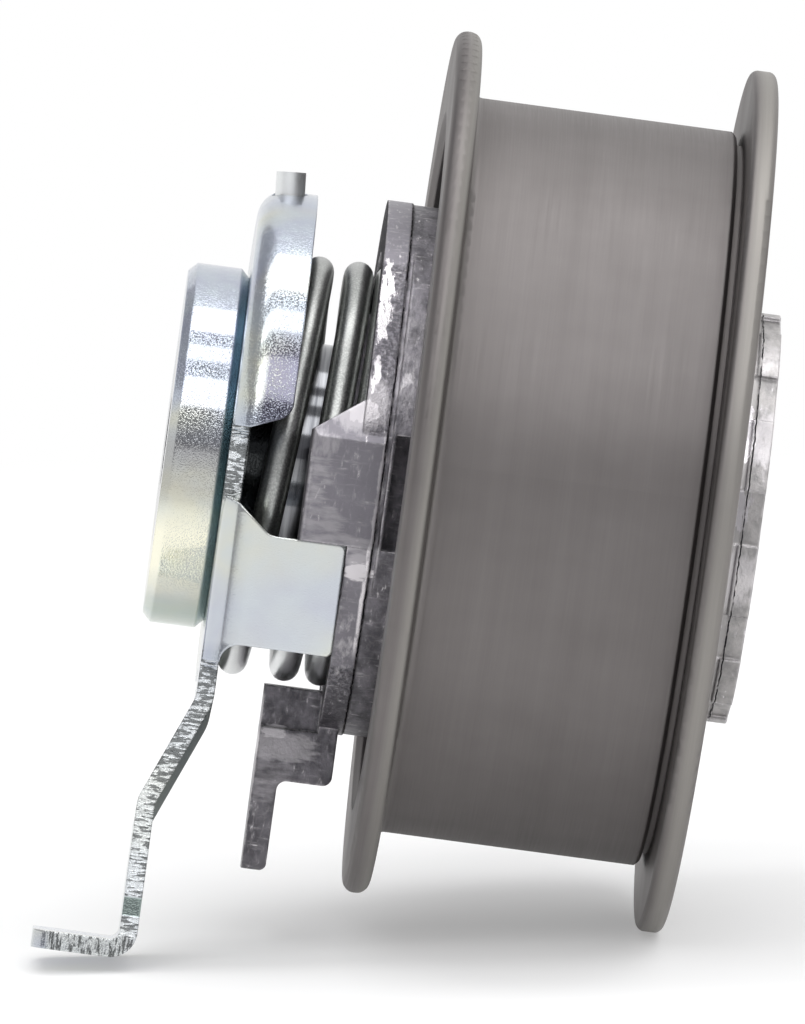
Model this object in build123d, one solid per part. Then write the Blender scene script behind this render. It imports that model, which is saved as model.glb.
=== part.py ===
from build123d import *
import math
import os

# Automatic timing belt tensioner with a flanged pulley.
# Millimetres. +Y runs along the stud from the engine side (rear) to the front, +Z is up, and
# +X is the side that carries the stop tab. The origin is the centre of the stud bore on the
# rear seat face. Stations are measured along +Y.

# The three parallel axes, as (x, z) in the row frame
STUD_AXIS = (0.0, 0.0)
PIVOT_OFFSET = 3.6
PULLEY_OFFSET_X = 4.88
PULLEY_OFFSET_Z = 1.1
COIL_DROP = 0.9
PIVOT_AXIS = (STUD_AXIS[0] - PIVOT_OFFSET, STUD_AXIS[1])
PULLEY_AXIS = (PIVOT_AXIS[0] + PULLEY_OFFSET_X, PIVOT_AXIS[1] + PULLEY_OFFSET_Z)
COIL_AXIS = (PIVOT_AXIS[0], PIVOT_AXIS[1] - COIL_DROP)

PULLEY_THROW = math.hypot(PULLEY_OFFSET_X, PULLEY_OFFSET_Z)

# Clearances between pieces that move or lie past each other
JOURNAL_CLEARANCE = 0.05
RACE_CLEARANCE = 0.05
CAGE_CLEARANCE = 0.12
SEAL_CLEARANCE = 0.20
SLOT_CLEARANCE = 0.30
TAB_CLEARANCE = 0.10
COIL_SEAT_GAP = 0.13
COIL_FLOOR_GAP = 0.25
COIL_SIDE_GAP = 1.2
OPENING_CLEARANCE = 2.35

# Sheet of the base plate
SHEET = 1.7

# Torsion spring: each half-turn's advance is in wire diameters
WIRE_RADIUS = 1.42
COIL_RADIUS = 18.93
COIL_ADVANCES = (0.0, 1.16, 0.60, 0.74, 0.46, 0.60)
LEG_BEND = 3.0
REAR_LEG_LEAN = 4.0
REAR_LEG_STANDOUT = 1.8
FRONT_LEG_ANGLE = 62.0
FRONT_LEG_INSET = 1.05
COIL_REACH = COIL_RADIUS + WIRE_RADIUS

# Seat disc
SEAT_RADIUS = 17.3
SEAT_THICKNESS = 5.85
SEAT_CHAMFER = 0.8
PLATE_REAR = SEAT_THICKNESS
PLATE_FRONT = PLATE_REAR + SHEET

# Stations of the coil's tops and bottoms
COIL_STATIONS = [PLATE_FRONT + COIL_SEAT_GAP + WIRE_RADIUS]
for advance in COIL_ADVANCES:
    COIL_STATIONS.append(COIL_STATIONS[-1] + advance * 2 * WIRE_RADIUS)

# Tension lever, die cast
LEVER_RIM_DEPTH = 5.0
LEVER_FLOOR = 2.13
LEVER_WALL = 3.2
PARTING_DEPTH = 2.4
LEVER_STEP = 0.15
RECESS_RADIUS = COIL_REACH + COIL_SIDE_GAP
RECESS_FLOOR = COIL_STATIONS[-1] + WIRE_RADIUS + COIL_FLOOR_GAP
LEVER_RADIUS = RECESS_RADIUS + COIL_DROP + LEVER_WALL
LEVER_FRONT = RECESS_FLOOR + LEVER_FLOOR
LEVER_REAR = LEVER_FRONT - LEVER_RIM_DEPTH
LEVER_PARTING = LEVER_REAR + PARTING_DEPTH
BOSS_REAR = LEVER_REAR - 1.2
CAST_FILLET = 0.9

# Base plate, pressed from sheet
PLATE_RADIUS = COIL_REACH + 2.05
SKIRT_RADIUS = COIL_REACH + 3.15 + SHEET
SKIRT_BEND = 2.6
SKIRT_HEIGHT = 5.45
SKIRT_START_DOWN = -2.3
SKIRT_SLOPE = 1.5
SKIRT_CORNER = 1.8
COLLAR_WALL = 1.5
COLLAR_HEIGHT = 2.6
TAB_FACE = COIL_REACH + 1.95 + SHEET
TAB_BEND = 3.2
TAB_TOP_DOWN = 7.6
TAB_HEIGHT = 10.55
TAB_ROOT_RISE = 3.6
TAB_SHOULDER = (3.2, 1.9)
TAB_RELIEF = 1.8
TAB_CORNER = 0.6
TAB_BOTTOM_DOWN = TAB_TOP_DOWN + TAB_HEIGHT
TAB_FRONT = LEVER_REAR - TAB_CLEARANCE
ARM_NEAR = TAB_FACE - 2.5
ARM_WIDTH = 12.0
ARM_FAR = ARM_NEAR - ARM_WIDTH
ARM_FILLET = 1.4
CRANK_DROP = 1.1
CRANK_RUN = 10.2
CRANK_SETBACK = 4.2
CRANK_SKEW = 0.19
CRANK_BEND = 3.0
SHANK_LENGTH = 15.2
FOOT_LENGTH = 9.8
FOOT_BEND = 2.6
FOOT_CORNER = 2.0
CRANK_TOP_DOWN = max(PLATE_RADIUS, TAB_BOTTOM_DOWN + TAB_RELIEF) + CRANK_DROP
CRANK_BOTTOM_DOWN = CRANK_TOP_DOWN + CRANK_RUN
CRANK_REAR = PLATE_REAR - CRANK_SETBACK
FOOT_DOWN = CRANK_BOTTOM_DOWN + SHANK_LENGTH
FOOT_REAR = CRANK_REAR + SHEET - FOOT_LENGTH

# Stop lug and pointer of the lever
LUG_INNER = COIL_REACH + 0.55
LUG_OUTER = max(TAB_FACE + 1.0, LEVER_RADIUS + 0.1)
LUG_OVERLAP = 4.7
LUG_TOP_REAR = 2.9
LUG_TOP_FRONT = 7.4
LUG_FACET = 2.8
LUG_FACE_TOP = 2.4
LUG_REAR = LEVER_REAR - LUG_OVERLAP
POCKET_TOP = 3.3
POCKET_DEPTH = 5.5
POCKET_REAR = LEVER_PARTING + 0.8
POINTER_REACH = 13.75
POINTER_OVERHANG = 5.5
BLADE_THICKNESS = 2.3
BLADE_TIP_HALF = 3.2
BLADE_TIP_FILLET = 1.2
WEB_HALF = 4.6
BRIDGE_HALF = 5.6
BRIDGE_HEIGHT = 4.95
BRIDGE_DEPTH = 1.9
POINTER_ROOT_DOWN = COIL_DROP + COIL_REACH + 0.45
POINTER_REAR = LEVER_REAR - POINTER_OVERHANG
POINTER_TIP_DOWN = LEVER_RADIUS + POINTER_REACH
BRIDGE_FRONT = LEVER_REAR + BRIDGE_DEPTH
BRIDGE_BOTTOM_DOWN = LEVER_RADIUS + BRIDGE_HEIGHT

# Ball bearing, 40 x 62 x 12: its rolling parts follow from these
BEARING_BORE_RADIUS = 20.0
BEARING_OUTER_RADIUS = 31.0
BEARING_WIDTH = 12.0
BALL_COUNT = 14
RING_CHAMFER = 0.6
LAND_OFFSET = 2.1
SEAL_SEAT_OFFSET = 2.7
SEAL_THICKNESS = 1.2
SEAL_INSET = 0.3
SEAL_LIP_WIDTH = 1.2
CAGE_HALF = 1.2
CAGE_BACK = 0.905
CAGE_SEAL_GAP = 0.3
CAGE_HORN = 1.9
GROOVE_EASE = 0.1
SEAL_DEPTH = SEAL_INSET + SEAL_THICKNESS
PITCH_RADIUS = (BEARING_BORE_RADIUS + BEARING_OUTER_RADIUS) / 2
INNER_LAND_RADIUS = PITCH_RADIUS - LAND_OFFSET
OUTER_LAND_RADIUS = PITCH_RADIUS + LAND_OFFSET
SEAL_SEAT_RADIUS = PITCH_RADIUS + SEAL_SEAT_OFFSET
POCKET_RADIUS = BEARING_WIDTH / 2 - SEAL_DEPTH - CAGE_SEAL_GAP - CAGE_BACK
BALL_RADIUS = POCKET_RADIUS - CAGE_CLEARANCE
GROOVE_RADIUS = BALL_RADIUS + GROOVE_EASE

# Pulley shell and flanges, about the lever and the bearing
SEAT_SHOULDER = 2.0
PULLEY_WALL = 2.25
BELT_WIDTH = 24.3
BELT_CHAMFER = 0.35
FLANGE_HEIGHT = 6.1
FLANGE_LAP = 0.8
REAR_FLANGE_THICKNESS = 2.5
REAR_FLANGE_ROUND = 1.15
REAR_FLANGE_FILLET = 0.8
OPENING_CHAMFER = 0.6
SEAT_LEAD = 0.8
FRONT_LIP_HEIGHT = 2.4
FRONT_LIP_THICKNESS = 2.4
GROOVE_DEPTH = 1.25
GROOVE_WIDTH = 0.7
FLANGE_SEAT_DEPTH = 2.05
SPIGOT_WALL = 2.0
FRONT_FLANGE_THICKNESS = 2.4
FRONT_FLANGE_ROUND = 0.72
STAKE_HEIGHT = 0.2
LEVER_SWEEP = LEVER_RADIUS + PULLEY_THROW
OPENING_RADIUS = max(LEVER_SWEEP + OPENING_CLEARANCE, BEARING_OUTER_RADIUS + SEAT_SHOULDER)
BELT_RADIUS = OPENING_RADIUS + PULLEY_WALL
FLANGE_RADIUS = BELT_RADIUS + FLANGE_HEIGHT
FLANGE_SEAT_RADIUS = BELT_RADIUS - FLANGE_SEAT_DEPTH
REAR_FLANGE_REAR = LEVER_FRONT - FLANGE_LAP
REAR_FLANGE_FRONT = REAR_FLANGE_REAR + REAR_FLANGE_THICKNESS
BELT_REAR = REAR_FLANGE_FRONT + REAR_FLANGE_FILLET
BELT_FRONT = BELT_REAR + BELT_WIDTH
FRONT_FLANGE_REAR = BELT_FRONT + GROOVE_WIDTH
FRONT_FLANGE_FRONT = FRONT_FLANGE_REAR + FRONT_FLANGE_THICKNESS
BEARING_MIDDLE = (BELT_REAR + BELT_FRONT) / 2
BEARING_REAR = BEARING_MIDDLE - BEARING_WIDTH / 2
BEARING_FRONT = BEARING_MIDDLE + BEARING_WIDTH / 2

# Lever's barrel, plain bush and thrust washer
SHOULDER_HEIGHT = 2.0
BARREL_RELIEF = 0.4
BARREL_WALL = 2.1
BARREL_OVERHANG = 7.24
BUSH_WALL = 1.25
BUSH_SEAM = 0.3
BUSH_INSET = 0.4
WASHER_INSET = 2.1
WASHER_THICKNESS = 0.5
BARREL_RADIUS = BEARING_BORE_RADIUS - BARREL_RELIEF
BARREL_FRONT = BEARING_FRONT + BARREL_OVERHANG
BUSH_OUTER_RADIUS = BARREL_RADIUS - PULLEY_THROW - BARREL_WALL
BUSH_BORE_RADIUS = BUSH_OUTER_RADIUS - BUSH_WALL
BOSS_RADIUS = BUSH_OUTER_RADIUS + 2.1

# Adjusting eccentric
STUD_BORE_RADIUS = 4.25
SPIGOT_STEP = 1.2
HEAD_RADIUS = 19.7
HEAD_THICKNESS = 5.2
HEAD_PARTING = 3.2
HEAD_STEP = 0.15
HEAD_RECESS = 1.3
HEAD_RIM = 2.4
NUT_BOSS_RADIUS = 9.2
NOTCH_COUNT = 10
NOTCH_DEPTH = 0.55
NOTCH_WIDTH_DEG = 15.0
WRENCH_HOLE_RADIUS = 2.25
WRENCH_HOLE_INSET = 1.85
WRENCH_HOLE_DEPTH = 2.8
JOURNAL_RADIUS = BUSH_BORE_RADIUS - JOURNAL_CLEARANCE
SPIGOT_RADIUS = JOURNAL_RADIUS - SPIGOT_STEP
WRENCH_HOLE_OFFSET = HEAD_RADIUS - HEAD_RIM - WRENCH_HOLE_RADIUS - WRENCH_HOLE_INSET
WASHER_RADIUS = HEAD_RADIUS - WASHER_INSET
HEAD_REAR = BARREL_FRONT + WASHER_THICKNESS
HEAD_FRONT = HEAD_REAR + HEAD_THICKNESS

# Cutters run this far past what they cut
OVERRUN = 1.0


def axis_line(centre):
    """The line along +Y through an (x, z) centre."""
    return Axis((centre[0], 0, centre[1]), (0, 1, 0))


def station(y, centre):
    """A drawing plane at a station: local x is +X, local y is down, and it extrudes to the front."""
    return Plane(origin=(centre[0], y, centre[1]), x_dir=(1, 0, 0), z_dir=(0, 1, 0))


def cylinder(radius, start, end, centre):
    """A round bar about an axis between two stations."""
    return extrude(station(start, centre) * Circle(radius), amount=end - start)


def turned(profile, centre):
    """A solid of revolution from (radius, station) points."""
    plane = Plane(origin=(centre[0], 0, centre[1]))
    face = plane * make_face(Polyline(*profile, close=True))
    return revolve(face, axis_line(centre), 360)


def block(x, y, down, centre):
    """A box from three (low, high) pairs, with x and down measured from an axis."""
    plane = station(y[0], centre)
    middle = Location(((x[0] + x[1]) / 2, (down[0] + down[1]) / 2, 0))
    return extrude(plane * middle * Rectangle(x[1] - x[0], down[1] - down[0]), amount=y[1] - y[0])


def side_plane(near, centre):
    """A drawing plane seen from the near side: local x is the station and local y is down."""
    return Plane(origin=(centre[0] + near, 0, centre[1]), x_dir=(0, 1, 0), z_dir=(-1, 0, 0))


def flat_face(outline, rounds=()):
    """A flat face from points, with rounded corners given as (point index, radius)."""
    face = make_face(Polyline(*outline, close=True))
    for index, radius in rounds:
        corner = Vector(*outline[index])
        nearest = min(face.vertices(), key=lambda v: (Vector(v.X, v.Y) - corner).length)
        face = fillet(nearest, radius)
    return face


def side_prism(face, near, far, centre, skew=0.0):
    """A face of (station, down) points extruded from the near to the far side, lower by the skew."""
    length = (near - far) * math.hypot(1, skew)
    return extrude(side_plane(near, centre) * face, amount=length, dir=(-1, 0, -skew))


def front_prism(face, start, end, centre):
    """A face of (x, down) points extruded between two stations."""
    return extrude(station(start, centre) * face, amount=end - start, dir=(0, 1, 0))


def sheet_strip(path, bend, side):
    """The side face of a strip of sheet whose one surface follows (station, down) points."""
    surface = FilletPolyline(*path, radius=bend)
    return make_face(offset(surface, amount=SHEET, side=side, closed=True))


def circle_edges(solid, radius, y):
    """The circular edges of one radius at one station."""
    edges = solid.edges().filter_by(GeomType.CIRCLE)
    return [e for e in edges if abs(e.radius - radius) < 0.01 and abs(e.arc_center.Y - y) < 0.01]


def bore(radius, start, end, centre):
    """A round cutter that runs past both stations."""
    return cylinder(radius, start - OVERRUN, end + OVERRUN, centre)


def seat_disc():
    disc = cylinder(SEAT_RADIUS, 0, SEAT_THICKNESS, PIVOT_AXIS)
    rims = circle_edges(disc, SEAT_RADIUS, 0) + circle_edges(disc, SEAT_RADIUS, SEAT_THICKNESS)
    disc = chamfer(rims, SEAT_CHAMFER)
    return disc - bore(SPIGOT_RADIUS, 0, SEAT_THICKNESS, PIVOT_AXIS)


def bent_corner(length, height, outer_bend):
    """An L of sheet as (run, rise) points, with the bend at the origin's far corner."""
    inner_bend = outer_bend - SHEET
    half = math.sqrt(0.5)
    outer_mid = outer_bend * (1 - half)
    inner_mid = SHEET + inner_bend * (1 - half)
    return (
        Line((-length, 0), (-outer_bend, 0)),
        ThreePointArc((-outer_bend, 0), (-outer_mid, outer_mid), (0, outer_bend)),
        Line((0, outer_bend), (0, height)),
        Line((0, height), (-SHEET, height)),
        Line((-SHEET, height), (-SHEET, outer_bend)),
        ThreePointArc((-SHEET, outer_bend), (-inner_mid, inner_mid), (-outer_bend, SHEET)),
        Line((-outer_bend, SHEET), (-length, SHEET)),
        Line((-length, SHEET), (-length, 0)),
    )


def skirt():
    """The turned-up rim of the base plate, from the near side over the top to the far side."""
    plane = Plane(origin=(PIVOT_AXIS[0] + SKIRT_RADIUS, PLATE_REAR, PIVOT_AXIS[1]))
    width = SKIRT_RADIUS - PLATE_RADIUS + 2 * SHEET + SKIRT_BEND
    section = plane * make_face(Curve() + list(bent_corner(width, SKIRT_HEIGHT, SKIRT_BEND)))
    rim = revolve(section, axis_line(PIVOT_AXIS), 360)
    top = PLATE_REAR + SKIRT_HEIGHT
    reach = SKIRT_RADIUS + OVERRUN
    slope_down = SKIRT_START_DOWN - SKIRT_SLOPE
    below = [
        (PLATE_REAR - OVERRUN, SKIRT_START_DOWN),
        (PLATE_FRONT, SKIRT_START_DOWN),
        (top, slope_down),
        (top, slope_down - 2 * SKIRT_CORNER),
        (top + OVERRUN, slope_down - 2 * SKIRT_CORNER),
        (top + OVERRUN, reach),
        (PLATE_REAR - OVERRUN, reach),
    ]
    return rim - side_prism(flat_face(below, [(2, SKIRT_CORNER)]), reach, -reach, PIVOT_AXIS)


def stop_tab():
    """The tab on the near side, bent to the front, that the lever's lug rests on."""
    bottom = TAB_BOTTOM_DOWN + TAB_RELIEF
    root = TAB_TOP_DOWN - TAB_ROOT_RISE
    width = TAB_BEND + 2 * SHEET
    height = TAB_FRONT - PLATE_REAR
    plane = Plane(origin=(PIVOT_AXIS[0] + TAB_FACE, PLATE_REAR, PIVOT_AXIS[1] - bottom))
    section = plane * make_face(Curve() + list(bent_corner(width, height, TAB_BEND)))
    tab = extrude(section, amount=bottom - root + OVERRUN)
    above = [
        (PLATE_REAR - OVERRUN, root),
        (PLATE_FRONT, root + TAB_SHOULDER[1] / 2),
        (PLATE_FRONT + TAB_SHOULDER[0], TAB_TOP_DOWN),
        (TAB_FRONT + OVERRUN, TAB_TOP_DOWN),
        (TAB_FRONT + OVERRUN, root - 2 * OVERRUN),
        (PLATE_REAR - OVERRUN, root - 2 * OVERRUN),
    ]
    below = [
        (PLATE_FRONT, TAB_BOTTOM_DOWN),
        (TAB_FRONT + OVERRUN, TAB_BOTTOM_DOWN),
        (TAB_FRONT + OVERRUN, bottom + OVERRUN),
        (PLATE_FRONT, bottom + OVERRUN),
    ]
    far = TAB_FACE - width - OVERRUN
    tab -= side_prism(flat_face(above, [(2, TAB_SHOULDER[1])]), TAB_FACE + OVERRUN, far, PIVOT_AXIS)
    tab -= side_prism(flat_face(below, [(0, TAB_RELIEF)]), TAB_FACE + OVERRUN, far, PIVOT_AXIS)
    front = [e for e in tab.edges().filter_by(Axis.X) if abs(e.center().Y - TAB_FRONT) < 0.01]
    return fillet(front, TAB_CORNER)


def arm():
    """The cranked arm with its hooked foot, bent to the rear."""
    split = FOOT_DOWN - 2 * FOOT_BEND
    root = TAB_BOTTOM_DOWN / 2
    crank_path = [
        (PLATE_REAR, root),
        (PLATE_REAR, CRANK_TOP_DOWN),
        (CRANK_REAR, CRANK_BOTTOM_DOWN),
        (CRANK_REAR, split),
    ]
    strip = sheet_strip(crank_path, CRANK_BEND, Side.RIGHT)
    crank = side_prism(strip, ARM_NEAR, ARM_FAR, PIVOT_AXIS, CRANK_SKEW)
    skew_drop = CRANK_SKEW * ARM_WIDTH
    across = (ARM_FAR - OVERRUN, ARM_NEAR + OVERRUN)
    along = (FOOT_REAR, PLATE_FRONT + OVERRUN)
    crank -= block(across, along, (split, split + skew_drop + OVERRUN), PIVOT_AXIS)
    foot_path = [
        (CRANK_REAR + SHEET, split - skew_drop),
        (CRANK_REAR + SHEET, FOOT_DOWN),
        (FOOT_REAR, FOOT_DOWN),
    ]
    foot = side_prism(sheet_strip(foot_path, FOOT_BEND, Side.LEFT), ARM_NEAR, ARM_FAR, PIVOT_AXIS)
    tip = [e for e in foot.edges().filter_by(Axis.Z) if abs(e.center().Y - FOOT_REAR) < 0.01]
    return crank + fillet(tip, FOOT_CORNER)


def plate_blank():
    """The flat of the base plate: the disc, the corner that carries the tab, and the arm's root."""
    corner = TAB_FACE - TAB_BEND
    outline = Circle(PLATE_RADIUS)
    outline += Pos(corner / 2, TAB_BOTTOM_DOWN / 2) * Rectangle(corner, TAB_BOTTOM_DOWN)
    root = CRANK_TOP_DOWN - CRANK_BEND / 4
    outline += Pos((ARM_NEAR + ARM_FAR) / 2, root / 2) * Rectangle(ARM_WIDTH, root)
    blank = extrude(station(PLATE_REAR, PIVOT_AXIS) * outline, amount=SHEET)
    far_side = PIVOT_AXIS[0] + ARM_FAR
    crotch = [e for e in blank.edges().filter_by(Axis.Y) if abs(e.center().X - far_side) < 0.01]
    return fillet(max(crotch, key=lambda e: e.center().Z), ARM_FILLET)


def base_plate():
    plate = plate_blank() + skirt() + stop_tab() + arm()
    collar_front = PLATE_FRONT + COLLAR_HEIGHT
    plate += cylinder(BUSH_BORE_RADIUS + COLLAR_WALL, PLATE_FRONT, collar_front, PIVOT_AXIS)
    plate -= bore(BUSH_BORE_RADIUS, PLATE_REAR, collar_front, PIVOT_AXIS)
    return plate - rear_leg(WIRE_RADIUS + SLOT_CLEARANCE, OVERRUN)


def half_turn(start, end, side):
    """Half a coil between two (station, height) ends, on the far (-1) or the near (+1) side."""
    first = Vector(COIL_AXIS[0], start[0], COIL_AXIS[1] + start[1])
    last = Vector(COIL_AXIS[0], end[0], COIL_AXIS[1] + end[1])
    arm_out = (first - last).normalized()
    sideways = Vector(side, 0, 0)
    section = Plane(origin=first, x_dir=arm_out, z_dir=sideways) * Circle(WIRE_RADIUS)
    return revolve(section, Axis((first + last) * 0.5, arm_out.cross(sideways)), 180)


def wire_bend(point, travel, out, radius):
    """A right-angle bend of the wire at a point, from its travel direction to the out direction."""
    section = Plane(origin=point, x_dir=out, z_dir=travel) * Circle(radius)
    return revolve(section, Axis(point + out * LEG_BEND, travel.cross(out)), 90)


def wire_leg(point, travel, out, radius, length):
    """A bend followed by a straight end of the wire."""
    foot = point + travel * LEG_BEND + out * LEG_BEND
    straight = extrude(Plane(origin=foot, x_dir=travel, z_dir=out) * Circle(radius), amount=length)
    return wire_bend(point, travel, out, radius) + straight


def rear_leg(radius, extension=0.0):
    """The spring's rear end: out of the top of the coil, through the skirt, leaning to the rear."""
    lean = math.radians(REAR_LEG_LEAN)
    out = Vector(0, -math.sin(lean), math.cos(lean))
    coil_top = Vector(COIL_AXIS[0], COIL_STATIONS[0], COIL_AXIS[1] + COIL_RADIUS)
    reach = SKIRT_RADIUS + COIL_DROP + REAR_LEG_STANDOUT
    length = reach + extension - COIL_RADIUS - LEG_BEND
    return wire_leg(coil_top, Vector(1, 0, 0), out, radius, length)


def front_leg_start():
    """Where the front leg leaves the coil: the point, its travel and its outward direction."""
    turn = math.radians(FRONT_LEG_ANGLE)
    travel = Vector(-math.cos(turn), 0, -math.sin(turn))
    out = Vector(-math.sin(turn), 0, math.cos(turn))
    point = Vector(COIL_AXIS[0], COIL_STATIONS[-1], COIL_AXIS[1]) + out * COIL_RADIUS
    return point, travel, out


def front_leg():
    """The spring's front end: on round the far side, then out through the slot in the lever's rim."""
    point, travel, out = front_leg_start()
    length = LEVER_RADIUS - FRONT_LEG_INSET - COIL_RADIUS - LEG_BEND
    return wire_leg(point, travel, out, WIRE_RADIUS, length)


def last_arc():
    """The stretch of the front coil between its top and the front leg."""
    coil_top = Vector(COIL_AXIS[0], COIL_STATIONS[-1], COIL_AXIS[1] + COIL_RADIUS)
    section = Plane(origin=coil_top, x_dir=(0, 0, 1), z_dir=(-1, 0, 0)) * Circle(WIRE_RADIUS)
    return revolve(section, Axis((COIL_AXIS[0], 0, COIL_AXIS[1]), (0, -1, 0)), FRONT_LEG_ANGLE)


def torsion_spring():
    heights = [COIL_RADIUS if i % 2 == 0 else -COIL_RADIUS for i in range(len(COIL_STATIONS))]
    ends = list(zip(COIL_STATIONS, heights))
    wire = rear_leg(WIRE_RADIUS)
    for index in range(len(ends) - 1):
        side = -1 if index % 2 == 0 else 1
        wire += half_turn(ends[index], ends[index + 1], side)
    return wire + last_arc() + front_leg()


def lug():
    """The stop lug on the near side, which rests on the base plate's tab."""
    outline = [
        (LUG_REAR, TAB_TOP_DOWN),
        (LUG_REAR, -LUG_TOP_REAR),
        (LEVER_PARTING - CAST_FILLET, -LUG_TOP_FRONT),
        (LEVER_PARTING, -LUG_TOP_FRONT),
        (LEVER_PARTING, TAB_TOP_DOWN),
    ]
    body = side_prism(flat_face(outline), LUG_OUTER, LUG_INNER, PIVOT_AXIS)
    rear = [e for e in body.edges().filter_by(Axis.Z) if abs(e.center().Y - LUG_REAR) < 0.01]
    body = fillet(rear, CAST_FILLET)
    corner = LUG_OUTER + OVERRUN
    facet = [
        (corner, -LUG_FACE_TOP),
        (LUG_OUTER, -LUG_FACE_TOP),
        (LUG_OUTER - LUG_FACET, -LUG_TOP_FRONT - OVERRUN),
        (corner, -LUG_TOP_FRONT - OVERRUN),
    ]
    return body - front_prism(flat_face(facet), LUG_REAR - OVERRUN, LEVER_PARTING + OVERRUN, PIVOT_AXIS)


def pointer():
    """The pointer at the bottom: a web to the rear, a bridge block, and the blade outwards."""
    overlap = LEVER_RADIUS + OVERRUN
    root_down = (LEVER_RADIUS - LEVER_WALL / 2, overlap)
    root = block((-BRIDGE_HALF, BRIDGE_HALF), (LEVER_REAR, BRIDGE_FRONT), root_down, PIVOT_AXIS)
    web = block((-WEB_HALF, WEB_HALF), (POINTER_REAR, LEVER_REAR), (POINTER_ROOT_DOWN, overlap), PIVOT_AXIS)
    blade_front = POINTER_REAR + BLADE_THICKNESS
    side = [
        (POINTER_REAR, LEVER_RADIUS),
        (BRIDGE_FRONT, LEVER_RADIUS),
        (BRIDGE_FRONT, BRIDGE_BOTTOM_DOWN),
        (blade_front, BRIDGE_BOTTOM_DOWN),
        (blade_front, POINTER_TIP_DOWN),
        (POINTER_REAR, POINTER_TIP_DOWN),
    ]
    rounds = [(2, CAST_FILLET), (3, CAST_FILLET), (4, BLADE_THICKNESS * 0.3)]
    body = side_prism(flat_face(side, rounds), BRIDGE_HALF, -BRIDGE_HALF, PIVOT_AXIS)
    plan = [
        (-BRIDGE_HALF, LEVER_RADIUS),
        (BRIDGE_HALF, LEVER_RADIUS),
        (BRIDGE_HALF, BRIDGE_BOTTOM_DOWN),
        (BLADE_TIP_HALF, POINTER_TIP_DOWN),
        (-BLADE_TIP_HALF, POINTER_TIP_DOWN),
        (-BRIDGE_HALF, BRIDGE_BOTTOM_DOWN),
    ]
    plan_face = flat_face(plan, [(3, BLADE_TIP_FILLET), (4, BLADE_TIP_FILLET)])
    body &= front_prism(plan_face, POINTER_REAR - OVERRUN, LEVER_FRONT, PIVOT_AXIS)
    return root + web + body


def front_slot():
    """The slot in the lever's rim, open to the rear, that the spring's front leg lies in."""
    point, travel, out = front_leg_start()
    foot = point + travel * LEG_BEND
    length = LEVER_RADIUS + COIL_DROP + OVERRUN - COIL_RADIUS
    half = WIRE_RADIUS + SLOT_CLEARANCE
    start = LEVER_REAR - OVERRUN
    plane = Plane(origin=(foot.X, start, foot.Z), x_dir=out, z_dir=(0, 1, 0))
    slot = plane * Location((length / 2, 0, 0)) * Rectangle(length, 2 * half)
    return extrude(slot, amount=RECESS_FLOOR - start)


def tension_lever():
    lever = cylinder(LEVER_RADIUS, LEVER_REAR, LEVER_PARTING, PIVOT_AXIS)
    lever += cylinder(LEVER_RADIUS - LEVER_STEP, LEVER_PARTING, LEVER_FRONT, PIVOT_AXIS)
    lever -= cylinder(RECESS_RADIUS, LEVER_REAR - OVERRUN, RECESS_FLOOR, COIL_AXIS)
    lever += cylinder(BOSS_RADIUS, BOSS_REAR, LEVER_FRONT, PIVOT_AXIS)
    shoulder = BEARING_BORE_RADIUS + SHOULDER_HEIGHT
    barrel = [
        (0, RECESS_FLOOR),
        (shoulder, RECESS_FLOOR),
        (shoulder, BEARING_REAR),
        (BEARING_BORE_RADIUS, BEARING_REAR),
        (BEARING_BORE_RADIUS, BEARING_FRONT + BARREL_RELIEF),
        (BARREL_RADIUS, BEARING_FRONT + 2 * BARREL_RELIEF),
        (BARREL_RADIUS, BARREL_FRONT - RING_CHAMFER),
        (BARREL_RADIUS - RING_CHAMFER, BARREL_FRONT),
        (0, BARREL_FRONT),
    ]
    lever += turned(barrel, PULLEY_AXIS)
    lever -= bore(BUSH_OUTER_RADIUS, BOSS_REAR, BARREL_FRONT, PIVOT_AXIS)
    lever += lug() + pointer()
    pocket_far = LEVER_RADIUS - POCKET_DEPTH
    pocket_near = shoulder + PULLEY_OFFSET_X + OVERRUN
    pocket_down = (-POCKET_TOP, TAB_TOP_DOWN)
    lever -= block((pocket_far, pocket_near), (POCKET_REAR, LEVER_FRONT + OVERRUN), pocket_down, PIVOT_AXIS)
    return lever - front_slot()


def head_notch(index):
    """One of the shallow notches round the head, as a block to cut."""
    half_width = HEAD_RADIUS * math.tan(math.radians(NOTCH_WIDTH_DEG / 2))
    depth = NOTCH_DEPTH + 2 * OVERRUN
    plane = station(HEAD_REAR - OVERRUN, PIVOT_AXIS) * Rot(0, 0, 360 / NOTCH_COUNT * index)
    middle = Location((HEAD_RADIUS - NOTCH_DEPTH + depth / 2, 0, 0))
    return extrude(plane * middle * Rectangle(depth, 2 * half_width), amount=HEAD_THICKNESS + 2 * OVERRUN)


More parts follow.
